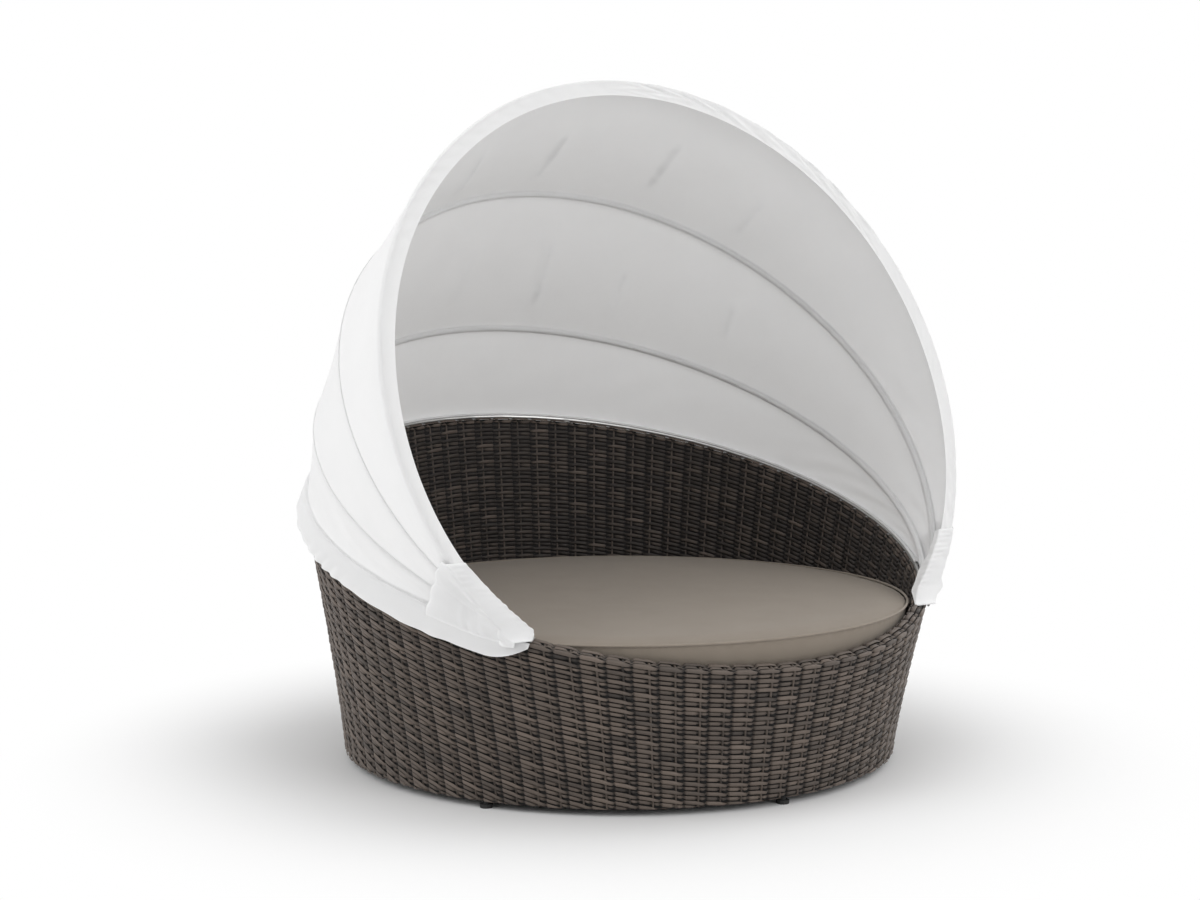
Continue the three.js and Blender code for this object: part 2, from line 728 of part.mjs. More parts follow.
function canopy() {
  const rim = new THREE.Group();
  rim.rotation.x = rimTilt;
  rim.position.set(0, rimSetback, rimHeight);

  rim.add(piece('rim_border', border(), 'wicker'));
  const rimTube = roundTube(new BowCurve(rimBow), bowDiameter, bowSides, bowSteps);
  const fixedBow = piece('rim_bow', rimTube, 'bow');
  fixedBow.position.z = rimBow.lift;
  rim.add(fixedBow);
  for (let i = 0; i < clipCount; i += 1) {
    const share = (i + 1 / 2) / clipCount;
    const mesh = piece(`rim_bow_clip_${i + 1}`, clip(), 'steel');
    mesh.position.copy(bowPoint(rimBow, share));
    mesh.position.z = rimBow.lift;
    mesh.rotation.z = bowAngle(rimBow, share);
    rim.add(mesh);
  }

  const capStart = stackEnd;
  const pinEnd = capStart + pinEngagement;
  const pinStart = stackStart - plateThickness - touchGap - pinHeadHeight;
  const pin = turnedAlongX([
    [0, 0],
    [pinHeadDiameter / 2, 0],
    [pinHeadDiameter / 2, pinHeadHeight],
    [pinDiameter / 2, pinHeadHeight],
    [pinDiameter / 2, pinEnd - pinStart],
    [0, pinEnd - pinStart],
  ], pinStart, boltSides);
  const cap = turnedAlongX([
    [0, capHeight - capFloor],
    [boreDiameter / 2, capHeight - capFloor],
    [boreDiameter / 2, 0],
    [capDiameter / 2, 0],
    [capDiameter / 2, capHeight / 2],
    [capDiameter / 3, capHeight - capFloor / 3],
    [0, capHeight],
  ], capStart, boltSides);
  [['left', -1], ['right', 1]].forEach(([name, side]) => {
    rim.add(piece(`pivot_bracket_${name}`, bracket(side), 'steel'));
    screwPlaces().forEach((place, i) => {
      const mesh = piece(`bracket_screw_${name}_${i + 1}`, screw(), 'steel');
      mesh.position.set(side * place.x, place.y, 0);
      rim.add(mesh);
    });
    [['pivot_pin', pin], ['pivot_cap', cap]].forEach(([kind, geometry]) => {
      const mesh = piece(`${kind}_${name}`, geometry, 'steel');
      mesh.position.set(0, -pivotAhead, pivotLift);
      mesh.rotation.z = side < 0 ? Math.PI : 0;
      rim.add(mesh);
    });
  });

  const names = ['rear_bow', 'middle_bow', 'front_bow'];
  swingingBows.forEach((bow, i) => {
    const pivot = new THREE.Group();
    pivot.position.set(0, -pivotAhead, pivotLift);
    pivot.rotation.x = bow.tilt;
    pivot.add(piece(names[i], swingingBow(bow, i), 'bow'));
    rim.add(pivot);
    if (i < swingingBows.length - 1) return;
    const crest = clothSeat(bow) + clothThickness;
    const hem = () => [
      [crest, touchGap],
      [crest, hemFront / 2],
      [crest - clothThickness, hemFront - hemPlay],
      [0, hemFront + clothThickness],
      [-hemDepth / 2, hemFront],
      [-hemDepth, hemFront / 2],
    ];
    const hemSteps = range(bowSteps - 2 * coverSteps + 1, (step) => coverSteps + step);
    pivot.add(piece('front_hem', strip(bow, hem, hemSteps), 'cloth'));
    const coverFootPlay = stackEnd + capHeight + coverCapPlay - bowFeet[i] - crest;
    const cover = (step) => {
      const rise = Math.min(step, bowSteps - step) / coverSteps;
      const outside = crest + lerp(coverFootPlay, coverPlay, rise);
      return [
        [outside, -lerp(coverBack, coverSpread, rise)],
        [outside, hemFront],
        [crest, hemFront + clothThickness + coverPlay],
        [0, hemFront + clothThickness + coverPlay],
        [-coverInner, hemFront / 2 + coverPlay],
      ];
    };
    const trim = (touchGap / bow.radius) * (bowSteps / Math.PI);
    const covered = [...range(coverSteps, (step) => step), coverSteps - trim];
    const opposite = covered.map((step) => bowSteps - step).reverse();
    pivot.add(piece('foot_cover_right', strip(bow, cover, covered), 'cloth'));
    pivot.add(piece('foot_cover_left', strip(bow, cover, opposite), 'cloth'));
  });
  rim.add(piece('rear_gore', gore(rimBow, swingingBows[0]), 'cloth'));
  rim.add(piece('middle_gore', gore(swingingBows[0], swingingBows[1]), 'cloth'));
  rim.add(piece('front_gore', gore(swingingBows[1], swingingBows[2]), 'cloth'));
  const skirt = piece('valance', valance(), 'cloth');
  skirt.position.z = rimBow.lift;
  rim.add(skirt);
  return rim;
}

const daybed = new THREE.Group();
daybed.add(tub(), deck(), cushion(), canopy());
const bounds = new THREE.Box3().setFromObject(daybed, true);
daybed.position.y = -(bounds.min.y + bounds.max.y) / 2;

export default daybed;
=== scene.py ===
import math

import bpy
import numpy as np
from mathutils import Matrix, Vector


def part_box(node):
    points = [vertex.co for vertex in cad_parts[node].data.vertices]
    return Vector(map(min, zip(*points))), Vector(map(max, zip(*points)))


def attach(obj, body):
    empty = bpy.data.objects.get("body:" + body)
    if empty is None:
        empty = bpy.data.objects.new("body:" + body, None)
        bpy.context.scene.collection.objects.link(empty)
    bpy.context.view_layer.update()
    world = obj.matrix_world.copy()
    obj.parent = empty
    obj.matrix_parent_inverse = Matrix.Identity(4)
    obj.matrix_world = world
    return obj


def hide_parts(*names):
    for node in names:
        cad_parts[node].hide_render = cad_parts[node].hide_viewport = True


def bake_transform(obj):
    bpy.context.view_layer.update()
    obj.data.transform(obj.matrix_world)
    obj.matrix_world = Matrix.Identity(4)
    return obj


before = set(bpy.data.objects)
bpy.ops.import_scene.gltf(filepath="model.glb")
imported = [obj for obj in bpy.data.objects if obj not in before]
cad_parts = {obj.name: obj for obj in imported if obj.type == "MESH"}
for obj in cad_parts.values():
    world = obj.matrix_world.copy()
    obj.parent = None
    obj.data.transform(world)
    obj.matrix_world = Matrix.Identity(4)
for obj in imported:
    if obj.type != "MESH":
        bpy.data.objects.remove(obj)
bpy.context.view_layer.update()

# Sizes in metres, angles in radians. The origin is on the floor in the middle of the footprint,
# with the front toward -Y.

TURN = 2 * math.pi

# Tub
RIM_RADIUS = 0.900
RIM_TILT = math.radians(17.2)
RIM_HEIGHT = 0.629
RIM_SETBACK = 0.009
BASE_RADIUS = 0.787
FLOOR_GAP = 0.020
FLARE_EXPONENT = 1.19
WALL_THICKNESS = 0.0374
BORDER_HEIGHT = 0.012
BORDER_OVERHANG = 0.001
BORDER_CORNER = 0.008
SHIFT = (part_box("wicker_outer")[0].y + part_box("wicker_outer")[1].y) / 2 - RIM_SETBACK

# Weave: columns round the tub, and rows of two strands that run along the rim. A tone is a
# share of the way from its dark to its light colour.
COLUMNS = 84
ROW_PITCH = 0.0252
STRAND_HEIGHT = 0.010
STRAND_THICKNESS = 0.0026
STRAND_SHIFT = 0.00035
STRAND_HEIGHT_SPREAD = 0.04
STRAND_TONE = 0.52
STRAND_TONE_SPREAD = 0.16
# Painted shade: a strand's tone darkens for each metre that it dips below the surface, in the
# weave's recesses.
RECESS_SHADE_PER_METRE = 48
TONE_RANGE = (-0.2, 0.95)
# Painted shade: the inside weave's tones are lowered, for the shade inside the tub.
INSIDE_PAINTED_SHADE = 0.46
INSIDE_SPARE = 0.04
INSIDE_BELOW_SEAT = 0.06
# The near-black sheet behind the weave: painted shade, seen through its gaps.
SHADE_SHEET_DEPTH = 0.0055
SHADE_SHEET_THICKNESS = 0.0025
SHADE_SHEET_STEPS = 24
STAKE_WIDTH = 0.0062
STAKE_GRAIN_WIDTH = 0.006
STAKE_DEPTH = 0.0046
STAKE_THICKNESS = 0.0034
STAKE_STEPS = 28
# Painted shade: the stakes lie deep in the grooves, and their tone is set darker than the strands'
# for that.
STAKE_SHADED_TONE = 0.30
STAKE_TONE_SPREAD = 0.12
STAKE_OVER_BORDER = 0.98

# Cushion
CUSHION_THICKNESS = 0.140
CUSHION_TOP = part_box("cushion")[0].z + CUSHION_THICKNESS
CUSHION_PLAY = 0.012
CUSHION_CORNER = 0.022
CUSHION_CROWN = 0.014
CUSHION_CROWN_AT_FIRST = 0.4
CUSHION_SEAM_INSET = 0.005
CUSHION_SEAM_HEIGHT = 0.010
CUSHION_SEAM_WIDTH = 0.014
CUSHION_VOXEL = 0.012
CUSHION_SIDES = 160
CUSHION_REACH = 0.8
WELT_DIAMETER = 0.007
WELT_SIDES = 10
WELT_STEPS = 300
# The cushion's side, as (height over its foot, inset)
CUSHION_SIDE = [
    (0.0, CUSHION_CORNER), (0.003, CUSHION_CORNER * 0.5), (0.010, CUSHION_CORNER * 0.12),
    (0.022, 0.0), (0.045, -0.001), (0.070, -0.0015), (0.095, -0.001), (0.120, 0.0),
    (0.134, 0.001),
]

# Canopy
PIVOT_AHEAD = 0.585
PIVOT_LIFT = 0.028
BOW_DIAMETER = 0.012
BOW_REACH = 0.602
REAR_BOW_RADIUS = 0.891
BOW_NESTING = 0.015
BOW_TILTS = {"rear": 11.1, "middle": 30.8, "front": 51.4}
RIM_BOW_RADIUS = 0.8813
RIM_BOW_LIFT = 0.0186
RIM_BOW_START = 0.070
SEAT_GAP = 0.0004
RIM_SEAT_GAP = 0.0027
CLOTH = 0.0012
CLOTH_MIDDLE = 0.001
THIN_CLOTH = 0.0008
TOUCH = 0.0003
RIPPLE_WAVES = 6
RIPPLE_SIZE = 3.5

# The shares of a bow that its cloth covers, and how many steps the cloth has along and across
GORE_ENDS = (1 / 36, 35 / 36)
SEAM_ENDS = (1.6 / 36, 34.4 / 36)
HEM_ENDS = (1.4 / 36, 34.6 / 36)
GORE_STEPS = (721, 45)
SLEEVE_STEPS = (361, 17)
POCKET_STEPS = (541, 33)
SEAM_STEPS = (541, 7)
VALANCE_STEPS = 961
HEM_STEPS = 901
BAND_STEPS = 28

GORE_DRAW = 0.008
GORE_UNEVEN = 0.0011
GORE_HEM = 0.0006
GORE_HEM_SHARE = 0.05
TUCK_COUNT = 90
TUCK_HEIGHT = 0.0006
TUCK_SHARE = 0.10
# Painted shade along the gores' creases, for each metre of a crease's height.
FOLD_PAINTED_SHADE = 48.0
# Creases of two gores: the line as two (share, across) places, the width and the height
FRONT_FOLDS = [
    (((0.513, 0.66), (0.511, 0.08)), 0.0050, 0.0060),
    (((0.426, 0.72), (0.423, 0.14)), 0.0050, 0.0065),
    (((0.584, 0.62), (0.579, 0.08)), 0.0045, 0.0050),
    (((0.348, 0.64), (0.346, 0.12)), 0.0050, 0.0045),
]
MIDDLE_FOLDS = [
    (((0.473, 0.75), (0.468, 0.10)), 0.0050, 0.0060),
    (((0.408, 0.62), (0.405, 0.14)), 0.0045, 0.0050),
    (((0.321, 0.72), (0.315, 0.30)), 0.0045, 0.0045),
    (((0.534, 0.70), (0.542, 0.16)), 0.0050, 0.0035),
]

POCKET_RADIUS = 0.0074
POCKET_FOOT = 0.0110
POCKET_FOOT_BEND = 0.82
POCKET_FOOT_DEPTHS = (0.0024, 0.0036)
POCKET_TURN = math.radians(95)
POCKET_UNEVEN = 0.03
FRONT_POCKET_TURN = math.pi * 0.999
RIM_POCKET_RADIUS = 0.0094
RIM_POCKET_TURN = 2.3
SEAM_WIDTH = 0.008
SEAM_LIFT = 0.0020
SEAM_CROWN = 0.0009
SEAM_UNEVEN = 0.0002

VALANCE_END = -0.030
VALANCE_CLEAR = 0.0038
VALANCE_TURN = 0.006
VALANCE_SINK = 0.0005
VALANCE_RAISE = 0.00255
VALANCE_DROP = 0.048
VALANCE_LEAST_DROP = 0.006
VALANCE_FLARE = 0.009
VALANCE_ROUND_RUN = 0.19
VALANCE_ROUNDING = 1.05
VALANCE_TUCK_RUN = 0.10
VALANCE_TUCK_BACK = 0.004
VALANCE_TUCK_LIFT = 0.0045
VALANCE_WAVES = 46
VALANCE_WAVE_OUT = 0.0042
VALANCE_WAVE_AHEAD = 0.0025
HEM_DEPTH = 0.028
HEM_MORE_DEPTH = 0.010
HEM_AHEAD = (0.0003, 0.008, 0.011, 0.009, 0.0045)
HEM_CREASES = 70
HEM_CREASE = 0.0010
HEM_TWISTS = 36
HEM_TWIST = 0.0026
HEM_PULLED_SHARES = (0.24, 0.52)
HEM_ROUGH_OUT = 0.0004
HEM_ROUGH_AHEAD = 0.0006
BAND_LIFT = 0.002
BAND_EDGE = 0.0010
BAND_EDGE_SHARE = 0.06

# Hood over the hoops' feet. inner gives, for distances from the pivot, how far the front face
# reaches inward of its hoop.
HOOD_STEPS = (76, 120)
HOOD_FOOT = -0.026
HOOD_AHEAD = 0.0145
HOOD_TOP_BACK = 0.0022
HOOD_FACE_BULGE = 0.002
HOOD_FACE_DRAPE = (0.75, 0.1)
HOOD_RETURN = (0.013, 0.2)
HOOD_RETURN_LIFT = 0.0115
HOOD_LOW_BACK = (-0.030, 0.231)
HOOD_LOW_UP = (-0.037, 0.004)
HOOD_LOW_DRAPE = 0.2
HOOD_FRONT_UP = 0.012
HOOD_EDGE = 0.198
HOOD_EDGE_WAVE = 0.0035
HOOD_DRAPE_SHARE = 0.16
HOOD_LIFTS = (0.004, -0.002, 0.013)
HOOD_BLEND_DEGREES = 14
HOOD_PIN_REACH = 0.732
HOOD_PIN_RADIUS = 0.022
HOOD_OFF_BORDER = 0.006
HOOD_FLARE = 0.17
HOOD_CREASE = 0.0016
HOOD_ROUGH = 0.0009
HOOD_PLEATS = 13
HOOD_PLEAT = 0.0008
HOOD_HEM = 0.0012
HOOD_HEM_SHARE = 0.03
LEFT_HOOD = {
    "top": 0.186, "out": 0.026, "drape": 0.004, "return": -0.002,
    "inner": ([-0.03, -0.02, -0.01, 0, 0.12, 0.19], [0.014, 0.034, 0.050, 0.0605, 0.041, 0.031]),
}
RIGHT_HOOD = {
    "top": 0.160, "out": 0.0135, "drape": 0.045, "return": 0.008,
    "inner": ([-0.03, 0, 0.16], [0.062, 0.064, 0.042]),
}

# Stage. A lamp is its place, the point that it faces and its power.
FLOOR_SIZE = 60
FADE_FROM, FADE_TO = 0.95, 1.75
WORLD_LEVEL = 0.60
LAMP_SIZE = 4.0
LAMPS = {
    "left": ((-5.0, 0.5, 3.0), (0, 0, 0.6), 80),
    "right": ((5.0, 0.0, 3.0), (0, 0, 0.6), 55),
    "top": ((0.0, -0.5, 6.0), (0, 0, 0.6), 50),
    "front": ((1.0, -5.5, 3.0), (0, 0, 0.9), 78),
}
CAMERA_PLACE = (-3.3623, -5.0787, 1.4109)
CAMERA_DOWN = 0.0898
CAMERA_YAW = -0.5777
CAMERA_SENSOR = 36.0
CAMERA_LENS = 63.8

rng = np.random.default_rng(7)


# Shapes in numpy

def stack(x, y, z):
    return np.stack(np.broadcast_arrays(x, y, z), -1).astype(float)


def smooth(t):
    t = np.clip(t, 0, 1)
    return t * t * (3 - 2 * t)


def rise(value, start, run):
    """A smooth rise from 0 at start to 1 a run further on."""
    return smooth((value - start) / run)


def unit(v):
    return v / np.maximum(np.linalg.norm(v, axis=-1, keepdims=True), 1e-12)


def mesh_object(name, vertices, quads, material, uv=None, tone=None):
    """A smooth mesh from numpy arrays; uv and tone are given for each vertex."""
    used, quads = np.unique(quads, return_inverse=True)
    quads = quads.reshape(-1, 4)
    vertices = vertices[used]
    mesh = bpy.data.meshes.new(name)
    mesh.vertices.add(len(vertices))
    mesh.vertices.foreach_set("co", vertices.astype(np.float32).ravel())
    mesh.loops.add(quads.size)
    mesh.loops.foreach_set("vertex_index", quads.astype(np.int32).ravel())
    mesh.polygons.add(len(quads))
    mesh.polygons.foreach_set("loop_start", np.arange(0, quads.size, 4, dtype=np.int32))
    mesh.polygons.foreach_set("use_smooth", np.ones(len(quads), bool))
    if uv is not None:
        layer = mesh.uv_layers.new(name="UVMap")
        layer.data.foreach_set("uv", uv[used][quads.ravel()].astype(np.float32).ravel())
    if tone is not None:
        layer = mesh.attributes.new("tone", "FLOAT", "POINT")
        layer.data.foreach_set("value", tone[used].astype(np.float32))
    mesh.update()
    mesh.validate()
    mesh.materials.append(material)
    obj = bpy.data.objects.new(name, mesh)
    bpy.context.collection.objects.link(obj)
    return obj


def grid_quads(rows, columns, closed_rows=False, closed_columns=False):
    """Quads of a grid whose vertex (i, j) has the number i * columns + j."""
    i = np.arange(rows if closed_rows else rows - 1)
    j = np.arange(columns if closed_columns else columns - 1)
    i, j = np.meshgrid(i, j, indexing="ij")
    i2, j2 = (i + 1) % rows, (j + 1) % columns
    quads = np.stack([i * columns + j, i * columns + j2, i2 * columns + j2, i2 * columns + j], -1)
    return quads.reshape(-1, 4)


def grid_normals(points, closed=False):
    """Normals of a grid of points, closed round along its first axis or open."""
    if closed:
        along = np.roll(points, -1, 0) - np.roll(points, 1, 0)
    else:
        along = np.gradient(points, axis=0)
    return unit(np.cross(along, np.gradient(points, axis=1)))


def lengths(points, axis):
    """Running length of a grid's lines along an axis."""
    steps = np.linalg.norm(np.diff(points, axis=axis), axis=-1)
    start = np.zeros_like(np.take(steps, [0], axis))
    return np.concatenate([start, np.cumsum(steps, axis)], axis)


def cloth_sheet(name, points, material, thickness, closed=False, tone=None):
    """A sheet with two sides and an edge. thickness is a number or one for each point."""
    rows, columns = points.shape[:2]
    normals = grid_normals(points, closed)
    half = np.broadcast_to(np.asarray(thickness, float), (rows, columns))[..., None] / 2
    front, back = points + normals * half, points - normals * half
    uv = np.stack([lengths(points, 0), lengths(points, 1)], -1).reshape(-1, 2)
    count = rows * columns
    quads = [grid_quads(rows, columns, closed)]
    quads.append(quads[0][:, ::-1] + count)
    index = np.arange(count).reshape(rows, columns)
    edges = [index[:, 0][::-1], index[:, -1]]
    if not closed:
        edges += [index[0, :], index[-1, :][::-1]]
    for edge in edges:
        a, b = edge[:-1], edge[1:]
        if closed:
            a, b = edge, np.roll(edge, -1)
        quads.append(np.stack([a, a + count, b + count, b], -1))
    vertices = np.concatenate([front.reshape(-1, 3), back.reshape(-1, 3)])
    if tone is not None:
        tone = np.tile(tone.ravel(), 2)
    return mesh_object(name, vertices, np.concatenate(quads), material, np.tile(uv, (2, 1)), tone)


def tube_ring(name, centres, radius, material):
    """A round tube along a closed line of centres."""
    along = unit(np.roll(centres, -1, 0) - np.roll(centres, 1, 0))
    across = unit(np.cross((0.0, 0.0, 1.0), along))[:, None]
    above = np.cross(along, across[:, 0])[:, None]
    turn = np.linspace(0, TURN, WELT_SIDES, endpoint=False)
    points = centres[:, None] + radius * (
        np.cos(turn)[:, None] * across + np.sin(turn)[:, None] * above)
    uv = stack(lengths(centres[:, None], 0), turn * radius, 0)[..., :2].reshape(-1, 2)
    quads = grid_quads(len(centres), WELT_SIDES, True, True)[:, ::-1]
    return mesh_object(name, points.reshape(-1, 3), quads, material, uv)


# Places on the tub

def rim_place(radius, angle, lift):
    return stack(radius * np.cos(angle), radius * np.sin(angle), lift)


def from_rim(p):
    """From the rim's own frame, centred in it and tilted with it, to the part's."""
    c, s = math.cos(RIM_TILT), math.sin(RIM_TILT)
    return stack(
        p[..., 0],
        p[..., 1] * c - p[..., 2] * s + RIM_SETBACK + SHIFT,
        p[..., 1] * s + p[..., 2] * c + RIM_HEIGHT,
    )


def wall_place(angle, height, inset):
    """In the wall at a height, inset from its outside."""
    top = from_rim(rim_place(RIM_RADIUS - inset, angle, 0))
    height = np.maximum(height, FLOOR_GAP)
    share = (height - FLOOR_GAP) / (top[..., 2] - FLOOR_GAP)
    flare = share ** FLARE_EXPONENT
    foot_x = (BASE_RADIUS - inset) * np.cos(angle)
    foot_y = (BASE_RADIUS - inset) * np.sin(angle) + SHIFT
    return stack(
        foot_x + (top[..., 0] - foot_x) * flare,
        foot_y + (top[..., 1] - foot_y) * flare,
        height,
    )


def rim_level(angle, inset=0.0):
    return RIM_HEIGHT + (RIM_RADIUS - inset) * np.sin(angle) * math.sin(RIM_TILT)


BORDER_HALF = WALL_THICKNESS / 2 + BORDER_OVERHANG
BORDER_SIDE = BORDER_HEIGHT - BORDER_CORNER
BORDER_ARC = BORDER_CORNER * math.pi / 2
BORDER_FLAT = 2 * (BORDER_HALF - BORDER_CORNER)
BORDER_LENGTH = 2 * BORDER_SIDE + 2 * BORDER_ARC + BORDER_FLAT


def border_place(angle, s, out):
    """On the rounded border, s along its section from the outside over the top."""
    from_middle = s - BORDER_LENGTH / 2
    side = np.sign(from_middle)
    run = np.abs(from_middle) - BORDER_FLAT / 2
    turn = np.clip(run / BORDER_CORNER, 0, math.pi / 2)
    drop = np.maximum(run - BORDER_ARC, 0)
    reach = BORDER_FLAT / 2 + np.minimum(run, 0) + (BORDER_CORNER + out) * np.sin(turn)
    lift = BORDER_SIDE - drop + (BORDER_CORNER + out) * np.cos(turn)
    radius = RIM_RADIUS - WALL_THICKNESS / 2 - side * reach
    return from_rim(rim_place(radius, angle, lift))


def skin_place(angle, s, out):
    """On the woven skin: s climbs the outside to 0 at its top, crosses the border and goes
    down the inside. out is off the surface."""
    outside = wall_place(angle, rim_level(angle) + s, -out)
    over = border_place(angle, np.clip(s, 0, BORDER_LENGTH), out)
    drop = s - BORDER_LENGTH
    inside = wall_place(angle, rim_level(angle, WALL_THICKNESS) - drop, WALL_THICKNESS + out)
    s = s[..., None]
    return np.where(s < 0, outside, np.where(s > BORDER_LENGTH, inside, over))


# Materials

def shader(name, color, roughness, metallic=0.0, **sockets):
    """A material, its node tree and its Principled shader."""
    material = bpy.data.materials.new(name)
    material.use_nodes = True
    tree = material.node_tree
    bsdf = tree.nodes["Principled BSDF"]
    bsdf.inputs["Base Color"].default_value = (*color, 1)
    bsdf.inputs["Roughness"].default_value = roughness
    bsdf.inputs["Metallic"].default_value = metallic
    for socket, value in sockets.items():
        bsdf.inputs[socket.replace("_", " ")].default_value = value
    return material, tree, bsdf


def node(tree, kind, **values):
    made = tree.nodes.new(kind)
    for key, value in values.items():
        if key in made.inputs:
            made.inputs[key].default_value = value
        else:
            setattr(made, key, value)
    return made


def color_by(tree, bsdf, value, *stops):
    """Base colour that follows a value through stops of (value, colour)."""
    made = tree.nodes.new("ShaderNodeValToRGB")
    elements = made.color_ramp.elements
    while len(elements) < len(stops):
        elements.new(0.5)
    for element, (place, color) in zip(elements, stops):
        element.position = place
        element.color = (*color, 1)
    tree.links.new(value, made.inputs["Fac"])
    tree.links.new(made.outputs["Color"], bsdf.inputs["Base Color"])


def texture(tree, kind, place, **values):
    made = node(tree, f"ShaderNodeTex{kind}", **values)
    tree.links.new(place, made.inputs["Vector"])
    return made.outputs["Fac"]


def bump(tree, bsdf, height, distance, strength):
    made = node(tree, "ShaderNodeBump", Distance=distance, Strength=strength)
    tree.links.new(height, made.inputs["Height"])
    previous = bsdf.inputs["Normal"].links
    if previous:
        tree.links.new(previous[0].from_socket, made.inputs["Normal"])
    tree.links.new(made.outputs["Normal"], bsdf.inputs["Normal"])


def uneven_gloss(tree, bsdf, value, low, high):
    made = node(tree, "ShaderNodeMapRange", **{"To Min": low, "To Max": high})
    tree.links.new(value, made.inputs["Value"])
    tree.links.new(made.outputs["Result"], bsdf.inputs["Roughness"])


def math_node(tree, operation, a, b):
    made = tree.nodes.new("ShaderNodeMath")
    made.operation = operation
    for socket, value in zip(made.inputs, (a, b)):
        if isinstance(value, (int, float)):
            socket.default_value = value
        else:
            tree.links.new(value, socket)
    return made.outputs[0]


def weighted_sum(tree, *parts):
    """The sum of (value, weight) pairs."""
    total = 0.0
    for value, weight in parts:
        total = math_node(tree, "ADD", total, math_node(tree, "MULTIPLY", value, weight))
    return total


def wicker_material(name, dark, light, roughness):
    """Flat resin strands: a tone for each strand, fine grooves along it and mottling."""
    material, tree, bsdf = shader(name, light, roughness, Specular_IOR_Level=0.45)
    place = node(tree, "ShaderNodeTexCoord").outputs
    tone = node(tree, "ShaderNodeAttribute", attribute_name="tone").outputs["Fac"]
    mottle = texture(tree, "Noise", place["Object"], Scale=70.0, Detail=4.0, Roughness=0.65)
    shade = weighted_sum(tree, (tone, 1.0), (mottle, 0.35))
    color_by(tree, bsdf, shade, (0.12, dark), (0.95, light))
    grooves = texture(tree, "Wave", place["UV"], bands_direction="Y",
                      Scale=330.0, Distortion=1.5, Detail=2.0, **{"Detail Scale": 2.0})
    bump(tree, bsdf, grooves, distance=0.00025, strength=0.7)
    grain = texture(tree, "Noise", place["Object"], Scale=900.0, Detail=3.0)
    bump(tree, bsdf, grain, distance=0.0002, strength=0.5)
    uneven_gloss(tree, bsdf, mottle, roughness - 0.1, roughness + 0.12)
    return material


def fabric_material(name, low, high, threads, depth, blotch, sheen, glow=0.0):
    """Woven fabric: threads both ways from the UVs in metres, and soft blotches. A tone attribute
    paints shade on it, darker along its folds. glow is how much light goes through it."""
    material, tree, bsdf = shader(
        name, high, 0.9, Sheen_Weight=sheen, Sheen_Roughness=0.5, Specular_IOR_Level=0.25,
        Subsurface_Weight=glow, Subsurface_Radius=(1, 1, 1), Subsurface_Scale=0.004)
    place = node(tree, "ShaderNodeTexCoord").outputs
    woven = math_node(tree, "MULTIPLY", *(
        texture(tree, "Wave", place["UV"], bands_direction=direction,
                Scale=threads, Distortion=0.6, Detail=1.0) for direction in ("X", "Y")))
    soft = texture(tree, "Noise", place["Object"], Scale=blotch, Detail=3.0, Roughness=0.6)
    fine = texture(tree, "Noise", place["Object"], Scale=450.0, Detail=2.0)
    # Painted shade where the cloth folds, read from the tone attribute.
    painted_fold_shade = node(tree, "ShaderNodeAttribute", attribute_name="tone").outputs["Fac"]
    shade = weighted_sum(tree, (soft, 0.6), (fine, 0.25), (woven, 0.3), (painted_fold_shade, -1.0))
    darkest = tuple(0.72 * part for part in low)
    color_by(tree, bsdf, shade, (0.0, darkest), (0.25, low), (0.75, high))
    bump(tree, bsdf, woven, distance=depth, strength=0.6)
    bump(tree, bsdf, fine, distance=depth, strength=0.3)
    return material


def metal_material(name, color, roughness, metallic, grain, stretch=(1, 1, 1)):
    """Metal or powder coat: fine streaks or orange peel, and uneven gloss."""
    material, tree, bsdf = shader(name, color, roughness, metallic)
    place = node(tree, "ShaderNodeTexCoord").outputs
    squeeze = node(tree, "ShaderNodeMapping", Scale=stretch)
    tree.links.new(place["Object"], squeeze.inputs["Vector"])
    peel = texture(tree, "Noise", squeeze.outputs["Vector"], Scale=grain, Detail=3.0)
    uneven_gloss(tree, bsdf, peel, roughness - 0.08, roughness + 0.12)
    darker = tuple(0.82 * part for part in color)
    color_by(tree, bsdf, peel, (0.3, darker), (0.7, color))
    bump(tree, bsdf, peel, distance=0.00015, strength=0.5)
    return material


WICKER = wicker_material(
    "wicker", (0.024, 0.0185, 0.0155), (0.150, 0.117, 0.095), roughness=0.5)
# A near-black sheet behind the weave: painted shade in the hollow of the wall.
SHADE_SHEET = wicker_material(
    "painted_shade_sheet", (0.006, 0.005, 0.005), (0.014, 0.012, 0.011), roughness=0.8)
CLOTH_WHITE = fabric_material(
    "canopy_cloth", (0.86, 0.86, 0.865), (0.90, 0.90, 0.90),
    threads=700, depth=0.00006, blotch=5, sheen=0.1, glow=0.7)
TAUPE = fabric_material(
    "cushion_fabric", (0.245, 0.208, 0.169), (0.275, 0.235, 0.193),
    threads=420, depth=0.00012, blotch=9, sheen=0.15)
# The welt is the cushion fabric made lighter: a painted highlight along the piping.
WELT_PAINTED_HIGHLIGHT = fabric_material(
    "cushion_welt", (0.26, 0.222, 0.182), (0.31, 0.265, 0.22),
    threads=420, depth=0.0001, blotch=30, sheen=0.15)
POWDER_COAT = metal_material(
    "powder_coat", (0.045, 0.040, 0.037), roughness=0.42, metallic=0.3, grain=500.0)
BARE_TUBE = metal_material(
    "bare_tube", (0.62, 0.62, 0.61), roughness=0.34, metallic=1.0, grain=260.0)
BRUSHED = metal_material(
    "brushed_steel", (0.56, 0.56, 0.55), roughness=0.30, metallic=1.0, grain=800.0,
    stretch=(0.15, 1, 1))
RUBBER = metal_material(
    "rubber", (0.018, 0.018, 0.018), roughness=0.75, metallic=0.0, grain=900.0)


